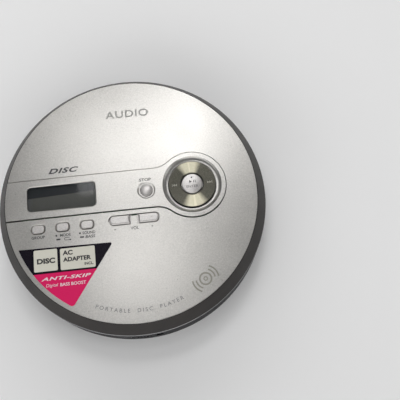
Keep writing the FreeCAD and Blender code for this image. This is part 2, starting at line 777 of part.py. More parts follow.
def headphone_jack():
    """Stereo mini jack in the right wall."""
    body = box(50.6, 62.0, SOCKET_Y - 5, SOCKET_Y + 5, MAIN_TOP, 12.4)
    nose = rod_x(3.0, 61, SOCKET_FACE, SOCKET_Y, SOCKET_Z)
    return cut(fuse([body, nose]), [rod_x(1.75, SOCKET_FACE - 14, 70, SOCKET_Y, SOCKET_Z)])


def dc_jack():
    """Power socket in the left wall, with its centre pin."""
    body = box(-62.0, -51.5, SOCKET_Y - 5, SOCKET_Y + 5, MAIN_TOP, 12.4)
    nose = rod_x(3.2, -SOCKET_FACE, -61, SOCKET_Y, SOCKET_Z)
    shell = cut(fuse([body, nose]), [rod_x(2.1, -70, -56.6, SOCKET_Y, SOCKET_Z)])
    pin = rod_x(0.85, -65.6, -56, SOCKET_Y, SOCKET_Z)
    return fuse([shell, pin])


def hold_knob():
    """Small ribbed slider in the right wall."""
    knob = box(68.3, 69.3, -4.0, 4.0, 7.6, 12.4).common(cyl(69.15, 0, 20))
    stub = box(66.4, 68.4, -1.0, 1.0, 9.1, 10.9)
    ribs = [box(69.0, 70, -2.2 + 1.1 * i, -1.8 + 1.1 * i, 7.9, 12.1) for i in range(5)]
    return cut(fuse([knob, stub]), ribs)


def hold_switch():
    """Switch behind the hold slider, on its own foot."""
    body = box(62.2, 65.6, -4.5, 6.5, 5.0, 12.2)
    foot = box(59.0, 61.5, -3.5, 5.5, MAIN_TOP, 6.0)
    neck = box(61.0, 62.5, -3.5, 5.5, 5.0, 6.0)
    return fuse([body, foot, neck])


def open_knob():
    """Opening slider in the front wall."""
    knob = pad_y(-6, 6, 9.2, 14.8, -69.4, -68.3).common(cyl(69.15, 0, 20))
    stub = box(-2.0, 2.0, -68.4, -66.5, 10.6, 13.4)
    ribs = [box(-3.7 + 1.6 * i, -3.0 + 1.6 * i, -70, -68.85, 9.9, 14.1) for i in range(5)]
    return cut(fuse([knob, stub]), ribs)


def latch_slider():
    """Plate behind the wall that follows the opening slider and holds the claw."""
    plate = box(-7, 7, -66.5, -65.5, 9.5, 14.0)
    upright = box(2.5, 5.5, -66.5, -65.5, 13.5, 16.4)
    finger = box(2.5, 5.5, -66.0, -63.7, 15.2, 16.4)
    hook = box(-7, -5.8, -66.0, -63.0, 10.2, 12.4)
    return fuse([plate, upright, finger, hook])


def latch_spring():
    """Coil spring that draws the latch slider back."""
    return coil(V(-17.0, -63.4, 11.3), ALONG_X, 0.9, 0.9, 9.6, 8, 0.18)


def lid_spring():
    """Torsion spring round the left hinge pin that lifts the lid."""
    return coil(V(-LUG[0] + 0.35, HINGE_Y, HINGE_Z), ALONG_X, 1.45, 1.45, 2.3, 4, 0.25)


# Mechanism ---------------------------------------------------------------------------------------

def mech_chassis():
    """Pressed plate that carries the drive, with folded tabs for the rods."""
    top = CHASSIS_Z + 1.0
    plate = box(-31, 25, -14.4, 61.4, CHASSIS_Z, top).common(cyl(65.3, 10, 20))
    tabs = []
    for x in (-RODS_X, RODS_X):
        for y in (11.2, 60.1):
            tabs.append(box(x - 1.6, x + 1.6, y, y + 1.0, 8.4, CHASSIS_Z + 0.5))
    plate = fuse([plate] + tabs)
    tools = [box(-10.3, 10.3, 11.6, 70, 12, 20), cyl(3.3, 12, 20)]
    tools += [cyl(3.05, 12, 20, x, y) for x, y in DAMPERS]
    tools.append(box(SCREW_X - 4.5, SCREW_X + 4.5, 0, 11.1, 12, 20))
    tools += [rod_y(1.02, 10, 62, x, DRIVE_Z) for x in (-RODS_X, RODS_X)]
    tools += [cyl(4.5, 12, 20, -25, 22), cyl(3.0, 12, 20, 20, 20)]
    return cut(plate, tools)


def damper_grommets():
    """Rubber spools between the chassis and its posts."""
    spool = [(1.95, 12.0), (4.3, 12.0), (4.3, 12.95), (3.0, 12.95), (3.0, 14.05), (4.3, 14.05),
             (4.3, 15.05), (1.95, 15.05)]
    return group([turned(spool, x, y) for x, y in DAMPERS])


def damper_screws():
    """Shoulder screws that hold the chassis down."""
    screws = []
    for x, y in DAMPERS:
        screw = pan_screw(0, 0, -15.95, -15.15, -9.5, 3.4, 0.75)
        screw.rotate(V(0, 0, 0), ALONG_X, 180)
        screw.translate(V(x, y, 0))
        screws.append(screw)
    return group(screws)


def spindle_motor():
    """Flat motor under the chassis."""
    return turned([
        (0, 5.2), (11.0, 5.2), (11.0, 11.8), (9.8, CHASSIS_Z), (3.1, CHASSIS_Z), (3.1, 14.3),
        (1.05, 14.3), (1.05, 5.8), (0, 5.8),
    ])


def spindle_shaft():
    """Motor shaft."""
    return cyl(1.0, 5.85, 20.4)


def turntable():
    """Disc seat with the hub that the disc's hole goes over."""
    shape = turned([
        (1.02, 15.0), (4.0, 15.0), (4.0, 16.7), (14.3, 17.3), (14.5, 17.5), (14.5, 18.7), (14.3, DISC_SEAT),
        (HUB_R, DISC_SEAT), (HUB_R, 20.5), (6.6, HUB_TOP), (0, HUB_TOP), (0, 20.45), (1.02, 20.45),
    ])
    bores = []
    for angle in BALL_ANGLES:
        radius, z = BALL_AT
        seat = Part.makeSphere(BALL_R + 0.04, V(*on_circle(radius, angle), z))
        bore = rod_x(BALL_R + 0.06, 5.2, radius, 0, z)
        bore.rotate(V(0, 0, 0), UP, angle)
        bores += [seat, bore]
    return cut(shape, bores)


def hub_balls():
    """Three balls that grip the disc's hole."""
    radius, z = BALL_AT
    return group([Part.makeSphere(BALL_R, V(*on_circle(radius, angle), z)) for angle in BALL_ANGLES])


def pickup_body():
    """Sled with its optics, its two rod bearings and the nut on the lead screw."""
    block = box(-9, 9, LENS_Y - 11, LENS_Y + 3.6, 7.0, 14.6)
    left = box(-14.6, -8, LENS_Y - 10.2, LENS_Y + 2, 8.2, 11.8)
    right = box(8, 14.6, LENS_Y - 6, LENS_Y - 1, 8.2, 11.8)
    nut = box(-19.2, -14, LENS_Y - 6, LENS_Y - 2, 8.2, 11.8)
    well = cyl(4.2, 13.6, 15, 0, LENS_Y)
    well = well.common(box(-5, 5, LENS_Y - 5, LENS_Y + 3.2, 13, 16))
    tools = [rod_y(1.05, 0, 40, x, DRIVE_Z) for x in (-RODS_X, RODS_X)]
    tools += [rod_y(1.26, 0, 40, SCREW_X, DRIVE_Z), well]
    return cut(fuse([block, left, right, nut]), tools)


def lens_holder():
    """Ring that carries the lens on its suspension."""
    return turned([(2.3, 15.2), (3.6, 15.2), (3.6, 16.5), (3.2, 16.8), (2.3, 16.8)], 0, LENS_Y)


def objective_lens():
    """Domed lens."""
    edges = [
        line(V(0, 0, 15.6), V(2.28, 0, 15.6)), line(V(2.28, 0, 15.6), V(2.28, 0, 16.4)),
        cap_arc(2.28, 16.4, LENS_Z), line(V(0, 0, LENS_Z), V(0, 0, 15.6)),
    ]
    shape = solid_of(Part.Wire(edges))
    shape.translate(V(0, LENS_Y, 0))
    return shape


def guide_rods():
    """Two steel rods that the sled runs on."""
    return group([rod_y(1.0, 11.2, 61.1, x, DRIVE_Z) for x in (-RODS_X, RODS_X)])


def lead_screw():
    """Screw that drives the sled."""
    return rod_y(1.2, 6.0, 61.0, SCREW_X, DRIVE_Z)


def sled_motor():
    """Small motor on the screw's inner end."""
    body = rod_y(4.0, 0.5, 10.9, SCREW_X, DRIVE_Z)
    return body.cut(rod_y(1.26, 5.5, 14, SCREW_X, DRIVE_Z))


def screw_bracket():
    """Outer bearing of the lead screw."""
    bracket = box(SCREW_X - 2.4, SCREW_X + 2.4, 60.0, 61.2, 8.2, CHASSIS_Z)
    return bracket.cut(rod_y(1.26, 59, 62, SCREW_X, DRIVE_Z))


NODES = {
    "lid_rim": lid_rim, "lid_top": lid_top, "control_panel": control_panel, "lcd_window": lcd_window,
    "lcd_module": lcd_module, "lid_circuit_board": lid_board, "tact_switches": tact_switches,
    "lid_inner_cover": lid_inner_cover, "lid_screws": lid_screws, "label_sticker": label_sticker,
    "hinge_pins": hinge_pins, "latch_claw": latch_claw,
    "stop_button": stop_button, "play_button": play_button, "jog_base": jog_base, "jog_plate": jog_plate,
    "lower_case": lower_case, "case_trim": case_trim, "disc_deck": disc_deck, "rubber_feet": rubber_feet,
    "case_screws": case_screws, "battery_door": battery_door, "battery_box": battery_box,
    "battery_cells": battery_cells, "battery_springs": battery_springs, "battery_plates": battery_plates,
    "main_board": main_board, "board_chips": board_chips, "board_capacitors": board_capacitors,
    "headphone_jack": headphone_jack, "dc_jack": dc_jack, "hold_knob": hold_knob, "hold_switch": hold_switch,
    "open_knob": open_knob, "latch_slider": latch_slider, "latch_spring": latch_spring,
    "lid_spring": lid_spring, "mech_chassis": mech_chassis, "damper_grommets": damper_grommets,
    "damper_screws": damper_screws, "spindle_motor": spindle_motor, "spindle_shaft": spindle_shaft,
    "turntable": turntable, "hub_balls": hub_balls, "pickup_body": pickup_body, "lens_holder": lens_holder,
    "objective_lens": objective_lens, "guide_rods": guide_rods, "lead_screw": lead_screw,
    "sled_motor": sled_motor, "screw_bracket": screw_bracket,
}


def build():
    """Make every node and write its STEP file."""
    os.makedirs("parts", exist_ok=True)
    shapes = {name: make() for name, make in NODES.items()}
    for name in PILLS:
        shapes[name] = pill_button(name)
    for name in VOLUME:
        shapes[name] = volume_button(name)
    for name, shape in shapes.items():
        state = "ok" if shape.isValid() else "INVALID"
        print(f"{name:20s} solids {len(shape.Solids)} volume {shape.Volume:9.2f} {state}")
        shape.exportStep(f"parts/{name}.step")


build()
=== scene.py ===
"""Looks of the portable disc player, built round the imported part.

Lengths are in millimetres until a mesh is made, and FILM is how thick printing stands. The frame
is the part's own: origin on the table under the middle of the case, +X along the lid's panel,
+Y to the hinge, +Z up.
"""

import logging
import math
from abc import ABC, abstractmethod
from dataclasses import dataclass, replace
from enum import Enum
from typing import Any, Callable, Mapping, Optional, Union

import bpy
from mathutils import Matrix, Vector


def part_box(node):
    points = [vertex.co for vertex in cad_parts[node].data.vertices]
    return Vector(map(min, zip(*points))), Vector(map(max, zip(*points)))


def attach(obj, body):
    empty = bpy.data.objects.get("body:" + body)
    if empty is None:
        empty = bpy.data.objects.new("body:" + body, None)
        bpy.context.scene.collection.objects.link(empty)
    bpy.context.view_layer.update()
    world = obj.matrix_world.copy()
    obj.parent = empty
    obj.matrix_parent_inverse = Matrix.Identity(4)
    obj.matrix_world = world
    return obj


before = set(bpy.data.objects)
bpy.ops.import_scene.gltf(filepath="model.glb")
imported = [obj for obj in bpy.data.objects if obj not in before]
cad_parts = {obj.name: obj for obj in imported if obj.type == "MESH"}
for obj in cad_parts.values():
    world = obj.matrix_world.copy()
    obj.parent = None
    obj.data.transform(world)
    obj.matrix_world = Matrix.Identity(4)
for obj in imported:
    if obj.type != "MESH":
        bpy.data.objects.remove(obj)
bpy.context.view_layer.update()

MM = 0.001
FILM = 0.025
LOG = logging.getLogger("disc_player")

Colour = tuple[float, float, float, float]
Point = tuple[float, float]
Place = tuple[float, float, float]
Piece, Material, Socket = bpy.types.Object, bpy.types.Material, bpy.types.NodeSocket

WHITE: Colour = (1.0, 1.0, 1.0, 1.0)


def tone(red: float, green: float, blue: float) -> Colour:
    """A display colour from 0 to 255 as the linear colour that a shader takes, by the sRGB curve.

    Args:
        red: the red share.
        green: the green share.
        blue: the blue share.

    Returns:
        Linear red, green and blue, and an alpha of 1.
    """
    def linear(level: float) -> float:
        """One channel."""
        share = level / 255.0
        return share / 12.92 if share <= 0.04045 else ((share + 0.055) / 1.055) ** 2.4

    return linear(red), linear(green), linear(blue), 1.0


def tint(colour: Colour, share: float) -> Colour:
    """A colour made darker or lighter by a share, with an alpha of 1."""
    return tuple(level * share for level in colour[:3]) + (1.0,)


def low(node: str) -> Vector:
    """Lowest corner of a CAD node, in millimetres."""
    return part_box(node)[0] / MM


def high(node: str) -> Vector:
    """Highest corner of a CAD node, in millimetres."""
    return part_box(node)[1] / MM


def middle(node: str) -> Vector:
    """Middle of a CAD node's box, in millimetres."""
    return (low(node) + high(node)) / 2


# --- Shader tools ---

def operation(name: str, turned: bool = False) -> Callable[["Value", "Number"], "Value"]:
    """An operator that adds one Math node.

    Args:
        name: the node's operation.
        turned: whether the other number comes first, as in a reflected operator.

    Returns:
        The operator, ready to be a method of Value.
    """
    def apply(value: "Value", other: "Number") -> "Value":
        """The two numbers with the operation done."""
        return value.graph.math(name, *((other, value) if turned else (value, other)))

    return apply


class Value:
    """A number that changes over a surface, with Python's operators as Math nodes.

    A comparison gives 1 where it holds and 0 elsewhere, and at_least gives the greater of the two.
    """

    __add__, __radd__ = operation("ADD"), operation("ADD", turned=True)
    __sub__, __rsub__ = operation("SUBTRACT"), operation("SUBTRACT", turned=True)
    __mul__, __rmul__ = operation("MULTIPLY"), operation("MULTIPLY", turned=True)
    __truediv__, __pow__ = operation("DIVIDE"), operation("POWER")
    __gt__, __lt__ = operation("GREATER_THAN"), operation("LESS_THAN")
    at_least = operation("MAXIMUM")

    def __init__(self, graph: "Graph", socket: Socket) -> None:
        """Keeps the socket and the graph that it belongs to."""
        self.graph = graph
        self.socket = socket

    def __abs__(self) -> "Value":
        """Size without sign."""
        return self.graph.math("ABSOLUTE", self)

    def sine(self) -> "Value":
        """Sine of an angle in radians."""
        return self.graph.math("SINE", self)

    def within(self) -> "Value":
        """Held between 0 and 1."""
        return self.graph.math("ADD", self, 0.0, clamp=True)


Number = Union[Value, float]
Input = Union[Value, Socket, float, Colour, Place]


class Graph:
    """The node tree of one material, with its Principled shader at hand."""

    MIX_SHARE, MIX_FIRST, MIX_SECOND, MIX_COLOUR = 0, 6, 7, 2
    SCALE_VECTOR, SCALE_FACTOR = 0, 3

    def __init__(self, name: str, **constants: Any) -> None:
        """Makes a material.

        Args:
            name: the material's name.
            constants: values set on the shader's sockets, with spaces as underscores.
        """
        self.material = bpy.data.materials.new(name)
        self.material.use_nodes = True
        self.tree = self.material.node_tree
        self.shader = self.tree.nodes["Principled BSDF"]
        for socket, value in constants.items():
            title = socket.replace("_", " ").title().replace("Ior", "IOR")
            self.shader.inputs[title].default_value = value
        self._place: Optional[Socket] = None

    def node(self, kind: str, settings: Optional[Mapping[str, Any]] = None,
             sockets: Optional[Mapping[Union[str, int], Input]] = None) -> bpy.types.Node:
        """Adds a node.

        Args:
            kind: the node's type.
            settings: its own settings; "stops" are a ramp's (place, colour) pairs.
            sockets: the values or links of its sockets.

        Returns:
            The node.
        """
        made = self.tree.nodes.new(kind)
        for name, value in (settings or {}).items():
            if name == "stops":
                ramp = made.color_ramp.elements
                while len(ramp) < len(value):
                    ramp.new(1.0)
                for element, (place, colour) in zip(ramp, value):
                    element.position, element.color = place, colour
            else:
                setattr(made, name, value)
        for name, value in (sockets or {}).items():
            self.feed(made.inputs[name], value)
        return made

    def feed(self, socket: Socket, value: Input) -> None:
        """Links a value to a socket, or sets it there when it is a plain number or colour."""
        if isinstance(value, Value):
            self.tree.links.new(value.socket, socket)
        elif isinstance(value, Socket):
            self.tree.links.new(value, socket)
        else:
            socket.default_value = value

    def math(self, operation: str, *terms: Number, clamp: bool = False) -> Value:
        """One Math node on numbers."""
        made = self.node("ShaderNodeMath", {"operation": operation, "use_clamp": clamp},
                         dict(enumerate(terms)))
        return Value(self, made.outputs[0])

    def place(self) -> Socket:
        """Object coordinates in millimetres."""
        if self._place is None:
            metres = self.node("ShaderNodeTexCoord").outputs["Object"]
            scaled = self.node("ShaderNodeVectorMath", {"operation": "SCALE"},
                               {self.SCALE_VECTOR: metres, self.SCALE_FACTOR: 1.0 / MM})
            self._place = scaled.outputs[0]
        return self._place

    def axes(self) -> tuple[Value, Value, Value]:
        """The three coordinates in millimetres."""
        apart = self.node("ShaderNodeSeparateXYZ", sockets={0: self.place()})
        return tuple(Value(self, out) for out in apart.outputs)

    def noise(self, size: float, detail: float = 2.0, stretch: Place = (1, 1, 1)) -> Value:
        """Soft noise.

        Args:
            size: how far apart its blobs are, in millimetres.
            detail: how many finer layers it has.
            stretch: how much closer together they are along each axis.

        Returns:
            Noise around 0.5.
        """
        drawn = self.node("ShaderNodeVectorMath", {"operation": "MULTIPLY"},
                          {0: self.place(), 1: stretch})
        made = self.node("ShaderNodeTexNoise", sockets={
            "Vector": drawn.outputs[0], "Scale": 1.0 / size, "Detail": detail})
        return Value(self, made.outputs[0])

    def mix(self, share: Number, first: Input, second: Input) -> Socket:
        """Colour between two: the first where share is 0, the second where it is 1."""
        made = self.node("ShaderNodeMix", {"data_type": "RGBA"},
                         {self.MIX_SHARE: share, self.MIX_FIRST: first, self.MIX_SECOND: second})
        return made.outputs[self.MIX_COLOUR]

    def panel(self, x0: float, x1: float, y0: float, y1: float, corner: float,
              soft: float = 0.06) -> Value:
        """Mask of a rounded rectangle seen from above.

        Args:
            x0: its left side.
            x1: its right side.
            y0: its lower side.
            y1: its upper side.
            corner: the radius of its corners.
            soft: how wide its edge fades.

        Returns:
            1 inside it, 0 outside.
        """
        across, along, _ = self.axes()
        right = (abs(across - (x0 + x1) / 2) - ((x1 - x0) / 2 - corner)).at_least(0.0)
        up = (abs(along - (y0 + y1) / 2) - ((y1 - y0) / 2 - corner)).at_least(0.0)
        outside = (right * right + up * up) ** 0.5 - corner
        return (0.5 - outside / soft).within()

    def colour(self, value: Input) -> None:
        """Sets the base colour."""
        self.feed(self.shader.inputs["Base Color"], value)

    def rough(self, base: Number, *spreads: tuple[Value, float]) -> None:
        """Sets the roughness.

        Args:
            base: how rough the surface is in the middle.
            spreads: patterns around 0.5, each with how far it spreads the roughness.
        """
        for pattern, share in spreads:
            base = base + (pattern - 0.5) * share
        self.feed(self.shader.inputs["Roughness"], base.within())

    def relief(self, height: Value, depth: float) -> None:
        """Bumps the surface.

        Args:
            height: the pattern, from 0 to 1.
            depth: how far its 1 stands above its 0, in millimetres.
        """
        made = self.node("ShaderNodeBump", sockets={
            "Strength": 1.0, "Distance": depth * MM, "Height": height})
        self.feed(self.shader.inputs["Normal"], made.outputs[0])


# --- Finishes ---

@dataclass(frozen=True)
class Finish(ABC):
    """A finish that pieces take."""

    @abstractmethod
    def build(self, name: str) -> Material:
        """Makes its material."""


@dataclass(frozen=True)
class SatinPaint(Finish):
    """Metallic paint over plastic, with fine flake."""

    light: Colour
    dark: Colour
    metallic: float = 0.85
    roughness: float = 0.4
    flake: float = 0.3
    depth: float = 0.008

    def build(self, name: str) -> Material:
        """Makes its material."""
        graph = Graph(name, metallic=self.metallic)
        flake = graph.noise(self.flake, 1.0)
        speck = graph.noise(self.flake * 2.6, 2.0)
        cloud = graph.noise(14.0, 2.0)
        share = (flake * 0.9 + speck * 0.8 + cloud * 0.3 - 0.5).within()
        graph.colour(graph.mix(share, self.dark, self.light))
        graph.rough(self.roughness, (speck, 0.16), (cloud, 0.08))
        graph.relief(flake * 0.6 + speck * 0.4, self.depth)
        return graph.material


@dataclass(frozen=True)
class Moulded(Finish):
    """Plastic or rubber with a fine spark texture, rubbed a little in places."""

    light: Colour
    dark: Colour
    roughness: float = 0.5
    grain: float = 0.35
    depth: float = 0.012
    coat: float = 0.0
    shine: float = 0.5

    def build(self, name: str) -> Material:
        """Makes its material."""
        graph = Graph(name, coat_weight=self.coat, coat_roughness=0.18,
                      specular_ior_level=self.shine)
        grain = graph.noise(self.grain, 2.0)
        rubbed = graph.noise(11.0, 3.0)
        share = ((rubbed - 0.42) * 2.2 + (grain - 0.5) * 0.7).within()
        graph.colour(graph.mix(share, self.dark, self.light))
        graph.rough(self.roughness, (grain, 0.2), (rubbed, -0.16))
        graph.relief(grain, self.depth)
        return graph.material


@dataclass(frozen=True)
class SpunMetal(Finish):
    """Metal spun in fine rings round the jog's axis, with painted highlight: bright fans above and
    below its middle and painted shade at its sides.
    """

    light: Colour
    dark: Colour
    centre: Point
    pitch: float = 0.22
    highlight_turn: float = 0.08
    highlight_half: float = 0.62

    def build(self, name: str) -> Material:
        """Makes its material."""
        graph = Graph(name, metallic=0.9)
        x, y, _ = graph.axes()
        across, along = x - self.centre[0], y - self.centre[1]
        radius = (across * across + along * along) ** 0.5
        rings = (radius * (2 * math.pi / self.pitch)).sine() * 0.5 + 0.5
        scratch = graph.noise(0.9, 3.0)
        # Painted highlight: colour is lighter in fans above and below the axis, with a brighter
        # streak down their middle, standing in for the light that the rings reflect. The sides
        # between them are painted shade.
        bearing = abs(graph.math("ARCTAN2", across, along) + self.highlight_turn)
        upper = 1.0 - bearing / self.highlight_half
        lower = 1.0 - (math.pi - bearing) / self.highlight_half
        painted_fans = (upper.at_least(lower) * 2.0).within()
        painted_streak = (upper.at_least(lower) * 9.0 - 8.2).within()
        worn = (rings - 0.5) * 0.22 + (scratch - 0.5) * 0.25
        share = (painted_fans * 0.8 + painted_streak * 0.35 + worn).within()
        graph.colour(graph.mix(share, self.dark, self.light))
        graph.rough(0.34, (scratch, 0.2))
        graph.relief(rings, 0.006)
        return graph.material


@dataclass(frozen=True)
class Plated(Finish):
    """Bare or plated steel with drawn marks."""

    light: Colour
    dark: Colour
    roughness: float = 0.3
    stretch: Place = (1, 1, 1)

    def build(self, name: str) -> Material:
        """Makes its material."""
        graph = Graph(name, metallic=1.0)
        marks = graph.noise(0.5, 3.0, self.stretch)
        tarnish = graph.noise(5.0, 3.0)
        share = (marks * 0.5 + tarnish * 0.9 - 0.2).within()
        graph.colour(graph.mix(share, self.dark, self.light))
        graph.rough(self.roughness, (marks, 0.3), (tarnish, 0.2))
        graph.relief(marks, 0.004)
        return graph.material


@dataclass(frozen=True)
class DisplayCell(Finish):
    """Liquid crystal panel: a dark strip along its top, grey below and paler at its left edge."""

    grey: Colour
    strip: Colour
    pale: Colour
    strip_y: float
    strip_slope: float
    middle_x: float
    left: float

    def build(self, name: str) -> Material:
        """Makes its material."""
        graph = Graph(name, roughness=0.3)
        x, y, _ = graph.axes()
        film = graph.noise(6.0, 2.0)
        weave = graph.noise(0.3, 1.0)
        shade = (y - self.strip_y - (x - self.middle_x) * self.strip_slope) / 0.35
        edge = (1.0 - (x - self.left) / 2.6).within()
        body = graph.mix((film + (weave - 0.5) * 0.4).within(), tint(self.grey, 0.82),
                         self.grey)
        lit = graph.mix(edge * 0.6, body, self.pale)
        graph.colour(graph.mix((shade + 0.5).within(), lit, self.strip))
        graph.rough(0.3, (weave, 0.2))
        graph.relief(weave, 0.002)
        return graph.material


@dataclass(frozen=True)
class Clear(Finish):
    """Clear moulding: a display window or a lens."""

    tint: Colour
    alpha: float
    roughness: float = 0.06

    def build(self, name: str) -> Material:
        """Makes its material."""
        graph = Graph(name, alpha=self.alpha, coat_weight=0.5, coat_roughness=0.03)
        haze = graph.noise(4.0, 3.0)
        graph.colour(graph.mix(haze, self.tint, tint(self.tint, 1.25)))
        graph.rough(self.roughness, (haze, 0.06))
        graph.material.surface_render_method = "BLENDED"
        return graph.material


@dataclass(frozen=True)
class PrintedLabel(Finish):
    """Printed film: a black band with two pale boxes over a red field."""

    black: Colour
    red: Colour
    pale: Colour
    split_y: float
    boxes: tuple[tuple[float, float, float, float], ...]

    def build(self, name: str) -> Material:
        """Makes its material."""
        graph = Graph(name, specular_ior_level=0.06)
        _, y, _ = graph.axes()
        fibre = graph.noise(0.4, 2.0)
        band = ((y - self.split_y) / 0.1 + 0.5).within()
        ground = graph.mix(band, self.red, self.black)
        for x0, x1, y0, y1 in self.boxes:
            ground = graph.mix(graph.panel(x0, x1, y0, y1, 0.7), ground, self.pale)
        graph.colour(graph.mix((fibre - 0.5).within() * 0.25, ground, tone(120, 118, 120)))
        graph.rough(0.34, (fibre, 0.16))
        graph.relief(fibre, 0.003)
        return graph.material


@dataclass(frozen=True)
class CircuitBoard(Finish):
    """Green solder mask with tracks under it and tinned pads."""

    def build(self, name: str) -> Material:
        """Makes its material."""
        graph = Graph(name, coat_weight=0.3, coat_roughness=0.15)
        tracks = graph.node("ShaderNodeTexBrick", {"offset": 0.37, "squash": 1.7},
                            {"Vector": graph.place(), "Scale": 0.32, "Mortar Size": 0.03,
                             "Color1": tone(10, 78, 40), "Color2": tone(14, 90, 46),
                             "Mortar": tone(52, 128, 66)})
        pads = graph.node("ShaderNodeTexVoronoi", sockets={"Vector": graph.place(), "Scale": 0.28})
        pad = Value(graph, pads.outputs["Distance"]) < 0.12
        graph.colour(graph.mix(pad, tracks.outputs["Color"], tone(186, 186, 176)))
        graph.rough(0.45 - pad * 0.15)
        graph.relief(Value(graph, tracks.outputs["Fac"]) + pad, 0.02)
        return graph.material


@dataclass(frozen=True)
class CellJacket(Finish):
    """Printed sleeve of a dry cell: a bright band at its plus end, metal ends."""

    body: Colour
    band: Colour
    band_from: float
    reach: float

    def build(self, name: str) -> Material:
        """Makes its material."""
        graph = Graph(name, coat_weight=0.4, coat_roughness=0.1)
        x, _, _ = graph.axes()
        mottle = graph.noise(3.0, 2.0)
        ground = graph.mix(x > self.band_from, self.body, self.band)
        bare = abs(x) > self.reach
        line = abs(x - self.band_from) < 0.35
        ground = graph.mix(line, ground, tone(230, 225, 210))
        graph.colour(graph.mix(bare, ground, tone(200, 200, 198)))
        graph.feed(graph.shader.inputs["Metallic"], (bare + 0.35).within())
        graph.rough(0.28, (mottle, 0.2))
        graph.relief(mottle, 0.01)
        return graph.material


@dataclass(frozen=True)
class Ink(Finish):
    """Printing ink, a little uneven where it is thin."""

    shade: Colour
    fade: float = 0.25

    def build(self, name: str) -> Material:
        """Makes its material."""
        graph = Graph(name)
        thin = graph.noise(0.5, 2.0)
        pale = tuple(level + (0.45 - level) * self.fade for level in self.shade[:3]) + (1.0,)
        graph.colour(graph.mix((thin * 1.6 - 0.5).within(), self.shade, pale))
        graph.rough(0.5, (thin, 0.3))
        graph.relief(thin, 0.003)
        return graph.material


class Slot(Enum):
    """The record's material slots."""

    SILVER = "silver_paint"
    RIM = "smoke_rim"
    CASE = "case_black"
    TRIM = "trim_grey"
    WELL = "well_black"
    WINDOW = "display_window"
    CELL_PANEL = "display_cell"
    SPUN = "spun_metal"
    KEY = "key_silver"
    ROCKER = "rocker_black"
    STICKER = "sticker"
    FOOT = "foot_rubber"
    STEEL = "steel"
    SCREW = "screw_steel"
    BOARD = "circuit_board"
    CHIP = "chip"
    CAPACITOR = "capacitor"
    JACKET = "cell_jacket"
    CONTACT = "contact"
    MOTOR = "motor_can"
    CHASSIS = "chassis_steel"
    LENS = "lens"
    SLED = "sled_plastic"
    DAMPER = "damper_rubber"


